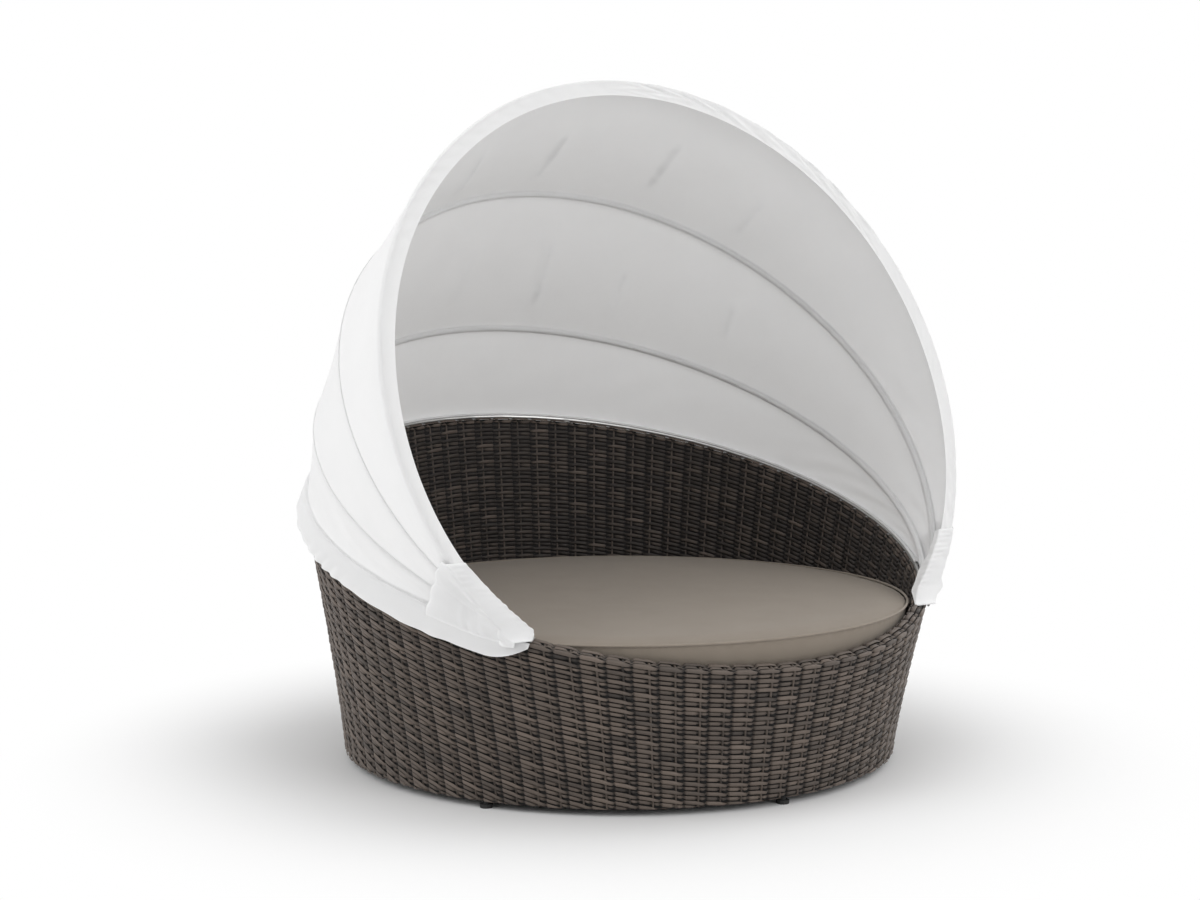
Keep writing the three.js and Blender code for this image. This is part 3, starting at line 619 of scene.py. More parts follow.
# Weave. A strand's way through one column is a table of shares and millimetres:
# (share of the column, out of the surface, down the row, height of the strand).
MM = 0.001
LEAST_HEIGHT = 1e-5
LOWER_STRAND = np.array([
    (0.00, -7.0, 0.0, 7.6),
    (0.03, -2.8, 0.0, 9.6),
    (0.08, -0.4, 0.0, 10.4),
    (0.30, 0.1, 0.0, 10.6),
    (0.52, 0.2, -0.2, 10.4),
    (0.64, 0.6, -0.9, 9.8),
    (0.76, -0.8, -2.1, 9.0),
    (0.87, -2.6, -2.8, 8.4),
    (0.93, -6.4, -3.0, 7.0),
])
UPPER_STRAND = np.array([
    (0.00, -7.0, 0.0, 6.6),
    (0.03, -3.3, 0.0, 8.6),
    (0.08, -1.1, 0.0, 9.4),
    (0.30, -0.9, 0.2, 9.6),
    (0.44, -1.4, 0.2, 9.0),
    (0.515, -5.4, 0.2, 7.0),
    (0.64, -6.8, 0.0, 6.0),
    (0.72, -3.4, -0.4, 6.8),
    (0.78, -2.1, -0.6, 7.8),
    (0.87, -3.2, -0.6, 7.2),
    (0.93, -6.6, -0.4, 6.0),
])
STAKE_SHARE = 0.64
ACROSS_SHARES = np.array([-0.5, -0.4, 0.0, 0.4, 0.5])
CREST_SHARES = np.array([0.0, 0.72, 1.0, 0.72, 0.0])


def strand_rows(table, rows, offset, pitch, upward):
    """Vertices (row, step round, 5, 3), their uv and tone, for one strand of each row."""
    steps = len(table)
    columns = np.arange(COLUMNS)[:, None]
    angle = ((columns + table[None, :, 0]) * TURN / COLUMNS).ravel()
    count = len(rows)
    jitter = np.repeat(rng.normal(0, 1, (4, count, COLUMNS, 1)), steps, 3).reshape(4, count, -1)
    out, drop, height = (np.tile(table[:, k] * MM, COLUMNS) for k in (1, 2, 3))
    out = out + STRAND_SHIFT * jitter[0]
    drop = drop + STRAND_SHIFT * jitter[1]
    height = height * (pitch / ROW_PITCH) * (1 + STRAND_HEIGHT_SPREAD * jitter[2])
    centre = rows[:, None] + upward * (offset * pitch + drop)
    s = centre[..., None] + height[..., None] * ACROSS_SHARES
    lift = out[..., None] + STRAND_THICKNESS * CREST_SHARES
    wide = np.broadcast_to(angle[None, :, None], s.shape)
    # The tone darkens where the strand dips in: painted shade in the recesses of the weave.
    tone = np.clip(STRAND_TONE + STRAND_TONE_SPREAD * jitter[3]
                   + RECESS_SHADE_PER_METRE * np.minimum(out, 0), *TONE_RANGE)
    tone = np.broadcast_to(tone[..., None], s.shape)
    uv = stack(wide * RIM_RADIUS, ACROSS_SHARES * STRAND_HEIGHT, 0)[..., :2]
    return skin_place(wide, s, lift), uv, tone


def weave(name, rows, pitch, upward=1.0, sectors=1, lowest=0.0, shade=0.0):
    """Two strands a row, woven round the tub above a height, split into sectors of columns."""
    points, uv, tone, quads = [], [], [], []
    first = 0
    for table, offset in ((LOWER_STRAND, -0.25), (UPPER_STRAND, 0.25)):
        parts = strand_rows(table, rows, offset, pitch, upward)
        count, around, across = parts[0].shape[:3]
        starts = first + np.arange(count)[:, None, None] * around * across
        quads.append(starts + grid_quads(around, across, closed_rows=True))
        for store, part, size in zip((points, uv, tone), parts, (3, 2, 1)):
            store.append(part.reshape(-1, size))
        first += count * around * across
    points, uv = np.concatenate(points), np.concatenate(uv)
    # shade lowers every tone: painted shade, for the weave inside the tub.
    tone = np.concatenate(tone)[:, 0] - shade
    pieces = []
    for sector in range(sectors):
        some = np.concatenate([
            np.split(part, sectors, axis=1)[sector].reshape(-1, 4) for part in quads])
        some = some[points[some, 2].max(1) > lowest + LEAST_HEIGHT]
        if upward < 0:
            some = some[:, ::-1]
        label = name if sectors == 1 else f"{name}_{sector + 1}"
        pieces.append(mesh_object(label, points, some, WICKER, uv, tone))
    return pieces


def stakes(name, low, high):
    """Upright strands, one a column, between two values of s that are given for each angle."""
    # Their tone is darker than the strands': painted shade in the grooves.
    angle = ((np.arange(COLUMNS) + STAKE_SHARE) * TURN / COLUMNS)[:, None, None]
    steps = np.linspace(0, 1, STAKE_STEPS)[:, None]
    s, turn, out, tone = np.broadcast_arrays(
        low(angle) + (high(angle) - low(angle)) * steps,
        angle + STAKE_WIDTH / RIM_RADIUS * ACROSS_SHARES,
        -STAKE_DEPTH + STAKE_THICKNESS * CREST_SHARES,
        STAKE_SHADED_TONE + STAKE_TONE_SPREAD * rng.normal(size=angle.shape))
    uv = stack(s, ACROSS_SHARES * STAKE_GRAIN_WIDTH, 0)[..., :2]
    quads = grid_quads(*s.shape[1:])[:, ::-1] + np.arange(COLUMNS)[:, None, None] * s[0].size
    return mesh_object(name, skin_place(turn, s, out).reshape(-1, 3), quads.reshape(-1, 4), WICKER,
                       uv.reshape(-1, 2), tone.ravel())


def shade_sheet(name, low, high):
    """A near-black sheet behind the weave, between two values of s that are given for each angle:
    painted shade for the hollow wall seen through the gaps.
    """
    angle = np.linspace(0, TURN, 2 * COLUMNS, endpoint=False)
    share = np.linspace(0, 1, SHADE_SHEET_STEPS)
    s = low(angle)[:, None] + (high(angle) - low(angle))[:, None] * share
    depth = SHADE_SHEET_DEPTH + SHADE_SHEET_THICKNESS / 2
    points = skin_place(np.broadcast_to(angle[:, None], s.shape), s, np.full(s.shape, -depth))
    return cloth_sheet(name, points, SHADE_SHEET, SHADE_SHEET_THICKNESS, closed=True)


def bottom(angle):
    """The foot of the wall outside, as a value of s."""
    return FLOOR_GAP - rim_level(angle)


def seat_level(angle):
    """Where the inside of the wall meets the top of the deck, as a value of s."""
    return BORDER_LENGTH + rim_level(angle, WALL_THICKNESS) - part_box("wicker_inner")[0].z


def on_border(share):
    """A share of the way over the border, as a value of s for each angle."""
    return lambda angle: np.full_like(angle, BORDER_LENGTH * share)


def make_tub():
    deepest = -bottom(math.pi / 2)
    outer_rows = -(np.arange(math.ceil(deepest / ROW_PITCH) + 1) + 0.5) * ROW_PITCH
    outer = weave("woven_wall", outer_rows, ROW_PITCH, sectors=4, lowest=FLOOR_GAP)
    border_pitch = BORDER_LENGTH / 2
    border = weave("woven_border", np.array([0.5, 1.5]) * border_pitch, border_pitch)
    inner_depth = rim_level(math.pi / 2) - CUSHION_TOP + INSIDE_SPARE
    inner_rows = BORDER_LENGTH + (np.arange(math.ceil(inner_depth / ROW_PITCH)) + 0.5) * ROW_PITCH
    inner = weave("woven_inside", inner_rows, ROW_PITCH, upward=-1.0, sectors=2,
                  lowest=CUSHION_TOP - INSIDE_BELOW_SEAT, shade=INSIDE_PAINTED_SHADE)
    others = [
        stakes("stakes_outside", bottom, on_border(STAKE_OVER_BORDER)),
        stakes("stakes_inside", on_border(1), seat_level),
        shade_sheet("shade_sheet_outside", bottom, on_border(0.5)),
        shade_sheet("shade_sheet_inside", on_border(0.5), seat_level),
    ]
    for piece in outer + border + inner + others:
        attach(piece, "tub")
    for piece in outer:
        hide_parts("wicker_outer")
    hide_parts("rim_border")
    for piece in inner:
        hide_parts("wicker_inner")


# Cushion

def cushion_ring(height, inset, count):
    angle = np.linspace(0, TURN, count, endpoint=False)
    return wall_place(angle, np.full(count, height), WALL_THICKNESS + CUSHION_PLAY + inset)


def cushion_form():
    """A closed form from rings of points: under, round the side to the seam, and the top."""
    low = CUSHION_TOP - CUSHION_THICKNESS
    side = [cushion_ring(low + height, inset, CUSHION_SIDES) for height, inset in CUSHION_SIDE]
    edge = cushion_ring(CUSHION_TOP, CUSHION_SEAM_INSET, CUSHION_SIDES)
    middle = np.array([0.0, (edge[:, 1].min() + edge[:, 1].max()) / 2, CUSHION_TOP])
    under = middle * (1, 1, 0) + (0, 0, low)
    rings = [under + (side[0] - under) * share for share in (0.0, 0.1, 0.4, 0.7, 0.9)]
    rings += side + [edge]
    for share in (0.985, 0.96, 0.92, 0.86, 0.78, 0.68, 0.56, 0.42, 0.27, 0.12, 0.0):
        ring = middle + (edge - middle) * share
        ring[:, 2] = CUSHION_TOP + CUSHION_CROWN_AT_FIRST * CUSHION_CROWN * (1 - share ** 4)
        rings.append(ring)
    return np.stack(rings)


def modify(piece, kind, **settings):
    """Adds a modifier and applies it."""
    modifier = piece.modifiers.new(kind, kind)
    for key, value in settings.items():
        setattr(modifier, key, value)
    bpy.ops.object.modifier_apply(modifier=modifier.name)


def simulate(piece, pinned, frames, pressure, cap_up, cap_out):
    """Blows a closed form up with cloth pressure, pinned where told, and caps its moves."""
    scene = bpy.context.scene
    rest = np.array([v.co for v in piece.data.vertices])
    group = piece.vertex_groups.new(name="pinned")
    for index, weight in enumerate(pinned(rest)):
        if weight > 0:
            group.add([index], float(weight), "REPLACE")
    cloth = piece.modifiers.new("Cloth", "CLOTH")
    settings = {
        "quality": 6, "mass": 0.4, "tension_stiffness": 12, "compression_stiffness": 12,
        "shear_stiffness": 6, "bending_stiffness": 2, "use_pressure": True,
        "uniform_pressure_force": pressure, "vertex_group_mass": "pinned",
    }
    for key, value in settings.items():
        setattr(cloth.settings, key, value)
    cloth.settings.effector_weights.gravity = 0
    cloth.point_cache.frame_start = 1
    cloth.point_cache.frame_end = frames
    for step in range(1, frames + 1):
        scene.frame_set(step)
    settled = piece.evaluated_get(bpy.context.evaluated_depsgraph_get()).data
    moved = np.array([v.co for v in settled.vertices])
    piece.modifiers.remove(cloth)
    piece.vertex_groups.remove(group)
    scene.frame_set(1)
    shift = moved - rest
    flat = np.linalg.norm(shift[:, :2], axis=1)
    shift[:, :2] *= np.minimum(1, cap_out / np.maximum(flat, 1e-9))[:, None]
    shift[:, 2] = np.clip(shift[:, 2], -cap_up, cap_up)
    piece.data.vertices.foreach_set("co", (rest + shift).astype(np.float32).ravel())
    piece.data.update()


def make_cushion():
    points = cushion_form()
    quads = grid_quads(len(points), CUSHION_SIDES, False, True)
    piece = mesh_object("cushion_pad", points.reshape(-1, 3), quads[:, ::-1], TAUPE)
    bpy.context.view_layer.objects.active = piece
    modify(piece, "REMESH", mode="VOXEL", voxel_size=CUSHION_VOXEL)
    edge = cushion_ring(CUSHION_TOP, CUSHION_SEAM_INSET, 720)
    low = CUSHION_TOP - CUSHION_THICKNESS

    def polar(points):
        x, y = points[:, 0], points[:, 1] - edge[:, 1].mean()
        return np.arctan2(y, x), np.hypot(x, y)

    def pinned(rest):
        """1 at the seam and under the cushion."""
        angle, reach = polar(rest)
        seam_angle, seam_reach = polar(edge)
        order = np.argsort(seam_angle)
        seam = np.interp(angle, seam_angle[order], seam_reach[order], period=TURN)
        close = np.abs(rest[:, 2] - CUSHION_TOP) < CUSHION_SEAM_HEIGHT
        near_seam = close & (np.abs(reach - seam) < CUSHION_SEAM_WIDTH)
        return np.where((rest[:, 2] < low + CUSHION_VOXEL) | near_seam, 1.0, 0.0)

    simulate(piece, pinned, frames=20, pressure=4.0, cap_up=0.008, cap_out=0.005)
    modify(piece, "SMOOTH", iterations=4)
    modify(piece, "SUBSURF", levels=1, render_levels=1)
    for polygon in piece.data.polygons:
        polygon.use_smooth = True
    planar_uv(piece)
    top = tube_ring("cushion_welt_top", cushion_ring(CUSHION_TOP - 0.001, 0.001, WELT_STEPS),
                    WELT_DIAMETER / 2, WELT_PAINTED_HIGHLIGHT)
    foot = tube_ring("cushion_welt_bottom", cushion_ring(low + 0.008, 0.004, WELT_STEPS),
                     WELT_DIAMETER / 2, WELT_PAINTED_HIGHLIGHT)
    for one in (piece, top, foot):
        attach(one, "tub")
    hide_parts("cushion")


def planar_uv(piece):
    """UVs in metres: from above on flat faces, round and up on the side."""
    mesh = piece.data
    layer = mesh.uv_layers.new(name="UVMap")
    place = np.array([mesh.vertices[loop.vertex_index].co for loop in mesh.loops])
    normal_z = np.repeat([p.normal.z for p in mesh.polygons], [p.loop_total for p in mesh.polygons])
    around = np.arctan2(place[:, 1], place[:, 0]) * CUSHION_REACH
    side = np.abs(normal_z) < 0.5
    uv = np.where(side[:, None], np.stack([around, place[:, 2]], -1), place[:, :2])
    layer.data.foreach_set("uv", uv.astype(np.float32).ravel())


# Canopy. A bow is the arc of a circle in a plane, and a share runs along it from its right foot.
# out is measured from its centre line away from the circle's centre, ahead square to the plane,
# toward the open front. On a piece of cloth, across is the share of the way over its width.

class Bow:
    def __init__(self, name, tilt, radius):
        swings = name != "rim"
        self.body = f"{name}_hoop" if swings else "tub"
        self.name = name
        self.tilt = math.radians(tilt)
        self.radius = radius
        self.ahead = PIVOT_AHEAD if swings else 0.0
        self.lift = PIVOT_LIFT if swings else RIM_BOW_LIFT
        self.reach = BOW_REACH if swings else 0.0
        foot = -BOW_REACH if swings else RIM_BOW_START - PIVOT_AHEAD
        self.start = math.asin(foot / radius)
        self.seat = BOW_DIAMETER / 2 + (SEAT_GAP if swings else RIM_SEAT_GAP)

    def place(self, share, out, ahead):
        angle = self.start + (math.pi - 2 * self.start) * share
        radius = self.radius + out
        c, s = math.cos(self.tilt), math.sin(self.tilt)
        y = self.reach + radius * np.sin(angle)
        x = radius * np.cos(angle)
        return from_rim(stack(x, y * c - ahead * s - self.ahead, y * s + ahead * c + self.lift))

    def outside(self, distance):
        """How far out to the side it lies at a distance from the pivot's axis."""
        return np.sqrt(self.radius ** 2 - (distance - BOW_REACH) ** 2)


RIM_BOW = Bow("rim", 0.0, RIM_BOW_RADIUS)
REAR_BOW, MIDDLE_BOW, FRONT_BOW = [
    Bow(name, tilt, REAR_BOW_RADIUS + i * BOW_NESTING)
    for i, (name, tilt) in enumerate(BOW_TILTS.items())]


def spline(pairs, samples):
    """Points evenly spaced along a smooth line through pairs."""
    padded = np.concatenate([2 * pairs[:1] - pairs[1:2], pairs, 2 * pairs[-1:] - pairs[-2:-1]])
    t = np.linspace(0, 1, 9)[:-1, None]
    parts = []
    for p0, p1, p2, p3 in zip(padded, padded[1:], padded[2:], padded[3:]):
        parts.append(0.5 * (2 * p1 + (p2 - p0) * t + (2 * p0 - 5 * p1 + 4 * p2 - p3) * t ** 2
                            + (3 * p1 - p0 - 3 * p2 + p3) * t ** 3))
    line = np.concatenate([*parts, pairs[-1:]])
    run = np.concatenate([[0], np.cumsum(np.linalg.norm(np.diff(line, axis=0), axis=1))])
    at = np.linspace(0, run[-1], samples)
    return np.stack([np.interp(at, run, line[:, k]) for k in range(line.shape[1])], -1)


def ridge(share, across, line, width, height):
    """A soft fold along a line of (share, across) pairs, as a height over the cloth."""
    (s0, a0), (s1, a1) = line
    t = np.clip((across - a0) / (a1 - a0), 0, 1)
    centre = s0 + (s1 - s0) * t
    fade = smooth(4 * t) * smooth(4 * (1 - t))
    inside = (across >= min(a0, a1)) & (across <= max(a0, a1))
    gap = (share - centre) / width
    return height * fade * inside * np.exp(-gap * gap)


def ripple(share, across, scale, seed):
    """A smooth seeded unevenness, mostly between -1 and 1."""
    draw = np.random.default_rng(seed)
    total = 0.0
    for k in range(RIPPLE_WAVES):
        fu, fv = draw.uniform(0.4, 1.0) * scale, draw.uniform(0.3, 1.2) * 2.0
        total = total + np.sin(TURN * (fu * share + fv * across + draw.uniform()))
    return total / RIPPLE_SIZE


def steps_over(ends, steps):
    """Shares along a bow, as a column, and across a piece of cloth, as a row."""
    return np.linspace(*ends, steps[0])[:, None], np.linspace(0, 1, steps[1])[None]


def dress(name, points, thickness, bow):
    """Cloth that goes where a bow goes."""
    piece = cloth_sheet(name, points, CLOTH_WHITE, thickness)
    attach(piece, bow.body)
    return piece


def declare_sheet(piece, points, node_name, held, *bows):
    """Measures the sheet's longest lines, which nothing uses, and hides the part that it replaces.
    """
    length = float(lengths(points, 0)[-1].max())
    width = float(lengths(points, 1)[:, -1].max())
    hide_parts(node_name)


def gore(behind, front, folds, seed):
    """Cloth stretched between two bows, which draws in a little and creases."""
    share, across = np.broadcast_arrays(*steps_over(GORE_ENDS, GORE_STEPS))
    start = behind.place(share, behind.seat + CLOTH_MIDDLE, TOUCH)
    end = front.place(share, front.seat + CLOTH_MIDDLE, -TOUCH)
    spread = np.linalg.norm(start - end, axis=-1) / BOW_REACH
    points = start + (end - start) * across[..., None]
    middle = from_rim(np.array([0.0, BOW_REACH - PIVOT_AHEAD, 0.0]))
    inward = unit(middle - points)
    fold = np.zeros_like(share)
    for line, width, height in folds:
        fold = fold + ridge(share, across, line, width, height)
    edge = np.minimum(across, 1 - across)
    free = np.sin(math.pi * across)
    uneven = GORE_UNEVEN * ripple(share, across, 22, seed) * free
    tuck = np.sin(TURN * TUCK_COUNT * share + 1.2 * ripple(share, across, 9, seed + 1))
    tuck = TUCK_HEIGHT * tuck * np.exp(-edge / TUCK_SHARE) * free
    lift = GORE_DRAW * spread * 4 * across * (1 - across) + (fold + uneven + tuck)
    points = points + inward * lift[..., None]
    thickness = CLOTH + GORE_HEM * np.exp(-(edge / GORE_HEM_SHARE) ** 2)
    name = f"{front.name}_gore"
    # The tone paints shade along the creases, darker where they stand higher.
    piece = cloth_sheet(f"{name}_cloth", points, CLOTH_WHITE, thickness, tone=FOLD_PAINTED_SHADE * fold)
    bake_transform(piece)
    declare_sheet(piece, points, name, "stretched", behind, front)


def sleeve(bow, radius, low):
    """The pocket round a bow, seen from inside as a ridge. low leaves its underside open."""
    share, across = steps_over(GORE_ENDS, SLEEVE_STEPS)
    turn = (2 * across - 1) * low
    wobble = radius * (1 + POCKET_UNEVEN * ripple(share, turn / 6, 60, 5))
    points = bow.place(share, wobble * np.cos(turn), wobble * np.sin(turn))
    dress(f"{bow.name}_pocket", points, THIN_CLOTH, bow)


def pocket(bow):
    """The pocket round a bow between two gores, with a foot on the inside of each gore."""
    turn = np.linspace(-POCKET_TURN, POCKET_TURN, 15)
    high, low = (bow.seat - depth for depth in POCKET_FOOT_DEPTHS)
    bend = POCKET_FOOT_BEND * POCKET_FOOT
    out = np.concatenate([[high, low], -POCKET_RADIUS * np.cos(turn), [low, high]])
    ahead = np.concatenate([
        [-POCKET_FOOT, -bend], POCKET_RADIUS * np.sin(turn), [bend, POCKET_FOOT]])
    section = spline(np.stack([out, ahead], -1), POCKET_STEPS[1])
    share, across = steps_over(GORE_ENDS, POCKET_STEPS)
    wobble = 1 + POCKET_UNEVEN * ripple(share, across, 60, 5) * np.sin(math.pi * across)
    points = bow.place(share, section[:, 0] * wobble, section[:, 1] * wobble)
    dress(f"{bow.name}_pocket", points, THIN_CLOTH, bow)


def seam(bow):
    """Tape over the joint of two gores."""
    share, across = steps_over(SEAM_ENDS, SEAM_STEPS)
    across = 2 * across - 1
    crown = SEAM_CROWN * (1 - across ** 2) + SEAM_UNEVEN * ripple(share, across, 80, 11)
    points = bow.place(share, bow.seat + SEAM_LIFT + crown, SEAM_WIDTH / 2 * across)
    dress(f"{bow.name}_seam", points, THIN_CLOTH, bow)


def band(name, bow, ends, steps, section, wave, held):
    """A strip of cloth along a bow. section(share) gives (out, ahead) pairs."""
    share, across = steps_over(ends, (steps, BAND_STEPS))
    outline = np.stack([spline(np.array(section(one)), BAND_STEPS) for one in share[:, 0]])
    out, ahead = wave(share, across)
    points = bow.place(share, outline[..., 0] + out, outline[..., 1] + ahead)
    edge = np.minimum(across, 1 - across)
    thickness = CLOTH + BAND_EDGE * np.exp(-(edge / BAND_EDGE_SHARE) ** 4)
    piece = dress(f"{name}_cloth", points, thickness, bow)
    declare_sheet(piece, points, name, held, bow)


def skirt(share):
    """The valance: over the border, with a tuck at both ends, then down and a little out."""
    start = RIM_BOW.seat + BAND_LIFT
    edge = BORDER_OVERHANG + RIM_RADIUS - RIM_BOW_RADIUS + VALANCE_CLEAR
    low = VALANCE_TURN - RIM_BOW_LIFT
    from_end = (min(share, 1 - share) - VALANCE_END) * 2 * (math.pi - RIM_BOW.start) * RIM_RADIUS
    tuck = 1 - smooth(from_end / VALANCE_TUCK_RUN)
    round_off = 1 - min(max(from_end, 0) / VALANCE_ROUND_RUN, 1)
    drop = VALANCE_DROP * (1 - VALANCE_ROUNDING * round_off ** 2) + VALANCE_LEAST_DROP
    back = VALANCE_TUCK_BACK
    return [
        (start + (edge - back - start) * tuck, (low + VALANCE_TUCK_LIFT) * tuck - VALANCE_SINK),
        ((start + edge + back) / 2 + back * tuck, low / 2 * (1 + tuck) + VALANCE_RAISE),
        (edge, low),
        (edge + VALANCE_FLARE / 2, low - drop / 2),
        (edge + VALANCE_FLARE, low - drop),
    ]


def valance_wave(share, across):
    """The skirt hangs in small uneven folds that deepen toward its lower edge."""
    from_end = np.minimum(share, 1 - share) - VALANCE_END
    deep = rise(across, 0.35, 0.65) * rise(from_end, 0.03, 0.05)
    phase = TURN * (VALANCE_WAVES * share + 1.1 * ripple(share, across * 0.15, 7, 21))
    fold = np.sin(phase) * (0.55 + 0.45 * ripple(share, 0, 12, 22))
    return VALANCE_WAVE_OUT * deep * fold, VALANCE_WAVE_AHEAD * deep * ripple(share, 0, 25, 23)


def hem(share):
    """The hem: from the front hoop's crest over it and inward."""
    crest = FRONT_BOW.seat + BAND_LIFT
    depth = HEM_DEPTH + HEM_MORE_DEPTH * rise(min(share, 1 - share), 0.05, 0.15)
    return list(zip((crest, crest - BAND_LIFT, 0.0, -depth / 2, -depth), HEM_AHEAD))


def hem_wave(share, across):
    """The hem creases, and twists in slanting wrinkles where it is pulled."""
    phase = TURN * (HEM_CREASES * share + 0.9 * across) + 2.2 * ripple(share, across, 6, 31)
    crease = np.sin(phase) * (0.4 + 0.6 * smooth(1.5 * ripple(share, 0, 5, 33)))
    rough = ripple(share, across * 0.5, 30, 32)
    phase = TURN * (HEM_TWISTS * share + 1.1 * across) + 2.6 * ripple(share, across, 10, 34)
    start, end = HEM_PULLED_SHARES
    pulled = rise(share, start, 0.05) * smooth((end - share) / 0.05)
    lift = HEM_CREASE * crease * (1 - pulled) + HEM_ROUGH_AHEAD * rough
    lift = lift + HEM_TWIST * np.sin(phase) * pulled
    free = np.sin(math.pi * np.clip(across, 0.02, 0.98))
    return HEM_ROUGH_OUT * rough * free, lift * free


def make_canopy():
    gore(RIM_BOW, REAR_BOW, [], 41)
    gore(REAR_BOW, MIDDLE_BOW, MIDDLE_FOLDS, 42)
    gore(MIDDLE_BOW, FRONT_BOW, FRONT_FOLDS, 43)
    for bow in (REAR_BOW, MIDDLE_BOW):
        pocket(bow)
        seam(bow)
    sleeve(FRONT_BOW, POCKET_RADIUS, FRONT_POCKET_TURN)
    sleeve(RIM_BOW, RIM_POCKET_RADIUS, RIM_POCKET_TURN)
    seam(RIM_BOW)
    band("valance", RIM_BOW, (VALANCE_END, 1 - VALANCE_END), VALANCE_STEPS, skirt, valance_wave,
         "hung")
    band("front_hem", FRONT_BOW, HEM_ENDS, HEM_STEPS, hem, hem_wave, "stretched")
    hood("foot_cover_left", -1, LEFT_HOOD)
    hood("foot_cover_right", 1, RIGHT_HOOD)


# The hood over the feet of the swinging hoops. Its points are x outward, u back and v up from
# the pivot's axis, in the rim's frame. t is the share of the way up its height, for each of its
# rows, and drape is how far its lowest rows hang down.

def hood_face(shape, t, drape):
    """Lines of points of the front face, after its return inside; and the face's outer edge."""
    r = HOOD_FOOT + (shape["top"] - HOOD_FOOT) * t
    sin_b, cos_b = math.sin(FRONT_BOW.tilt), math.cos(FRONT_BOW.tilt)
    inward, down = HOOD_FACE_DRAPE
    hoop = FRONT_BOW.outside(r) - inward * drape
    x_inner = hoop - np.interp(r, *shape["inner"])
    x_outer = hoop + shape["out"]

    def place(x, ahead):
        return stack(x, r * cos_b - ahead * sin_b - drape, r * sin_b + ahead * cos_b - down * drape)

    back = np.minimum(HOOD_RETURN[0] + HOOD_RETURN[1] * r, (r * sin_b + HOOD_RETURN_LIFT) / cos_b)
    back = back + (shape["return"] - back) * rise(t, 0.45, 0.2)
    over = HOOD_AHEAD - HOOD_TOP_BACK * rise(t, 0.85, 0.15)
    lines = [place(x_inner, over - (over + back) * k) for k in (1.0, 0.66, 0.33)]
    for k in np.linspace(0, 0.97, 9):
        bulge = HOOD_FACE_BULGE * math.sin(math.pi * k) * (1 - t ** 6)
        lines.append(place(x_inner + (x_outer - x_inner) * k, over + bulge))
    return lines, place(x_outer, over)


def hood_panel(shape, t, drape, edge):
    """Lines of points of the panel outside, from the face's outer edge over all the bows."""
    x_outer, front = edge[:, 0], edge[:, 1:]
    low_u = HOOD_LOW_BACK[0] + HOOD_LOW_BACK[1] * t - HOOD_LOW_DRAPE * drape
    low_v = HOOD_LOW_UP[0] + HOOD_LOW_UP[1] * t
    low = np.stack([low_u, low_v + HOOD_FRONT_UP * (1 - np.minimum(t / 0.4, 1)) ** 2], -1)
    (front_reach, front_turn), (low_reach, low_turn) = (
        (np.linalg.norm(line, axis=1), np.arctan2(line[:, 1], line[:, 0])) for line in (front, low))
    lines = []
    for k in np.linspace(0.03, 1, 30):
        straight = front + (low - front) * k
        reach = front_reach * (1 - k) + low_reach * k
        reach = reach + (HOOD_EDGE - shape["top"]) * smooth(6 * k) * (1 - k) * t ** 3
        reach = reach + HOOD_EDGE_WAVE * math.sin(7 * math.pi * k) * t ** 6
        turn = front_turn + (low_turn - front_turn) * k
        arc = np.stack([reach * np.cos(turn), reach * np.sin(turn)], -1)
        uv = straight + (arc - straight) * rise(t, 0.15, 0.25)[:, None]
        u, v = uv[:, 0], uv[:, 1]
        distance = np.hypot(u, v)
        rear, middle, ahead = (bow.outside(distance) for bow in (REAR_BOW, MIDDLE_BOW, FRONT_BOW))
        behind = np.degrees(FRONT_BOW.tilt - np.arctan2(v, np.maximum(u, 0.001)))
        least, nested, slack = HOOD_LIFTS
        x = rear + least
        x = x + (middle - rear + nested) * smooth((40 - behind) / HOOD_BLEND_DEGREES)
        x = x + (ahead - middle + nested) * smooth((20 - behind) / HOOD_BLEND_DEGREES) + slack
        x = x_outer + (x - x_outer) * smooth(k / 0.3) * rise(t, 0.05, 0.2)
        over_pin = (HOOD_PIN_REACH - x) * np.exp(-(distance / HOOD_PIN_RADIUS) ** 2)
        x = np.maximum(x, x + over_pin)
        below = np.maximum(-(v + PIVOT_LIFT), 0)
        border = RIM_RADIUS + BORDER_OVERHANG + HOOD_OFF_BORDER + HOOD_FLARE * below
        crease = np.sin(TURN * (2.6 * k + 0.25 * t)) * math.sin(math.pi * k) * smooth(4 * t)
        x = np.maximum(x, np.sqrt(border ** 2 - (u - PIVOT_AHEAD) ** 2)) + HOOD_CREASE * crease
        lines.append(np.stack([x, u, v], -1))
    return lines


def hood(name, side, shape):
    """The front face, its return inside, and the panel that drapes over all the bows outside."""
    t = np.linspace(0, 1, HOOD_STEPS[0])
    drape = shape["drape"] * (1 - np.minimum(t / HOOD_DRAPE_SHARE, 1)) ** 2
    lines, edge = hood_face(shape, t, drape)
    lines = np.stack(lines + hood_panel(shape, t, drape, edge), 1)
    points = np.stack([spline(line, HOOD_STEPS[1]) for line in lines])
    for step in range(4):
        points[:, 1:-1] = (points[:, :-2] + 2 * points[:, 1:-1] + points[:, 2:]) / 4
    share, across = np.meshgrid(t, np.linspace(0, 1, HOOD_STEPS[1]), indexing="ij")
    rough = HOOD_ROUGH * ripple(share, across, 9, 61 + side) * np.sin(math.pi * share)
    pleats = np.sin(TURN * HOOD_PLEATS * share) * np.exp(-((across - 0.17) / 0.10) ** 2)
    rough = rough + HOOD_PLEAT * pleats
    points = points + grid_normals(points) * rough[..., None]
    points = from_rim(stack(
        side * points[..., 0], points[..., 1] - PIVOT_AHEAD, points[..., 2] + PIVOT_LIFT))
    edge = np.minimum(np.minimum(share, 1 - share), np.minimum(across, 1 - across) * 1.3)
    thickness = CLOTH + HOOD_HEM * np.exp(-(edge / HOOD_HEM_SHARE) ** 4)
    piece = dress(f"{name}_cloth", points, thickness, FRONT_BOW)
    declare_sheet(piece, points, name, "hung", FRONT_BOW)


# Pieces that keep the shape of their solids

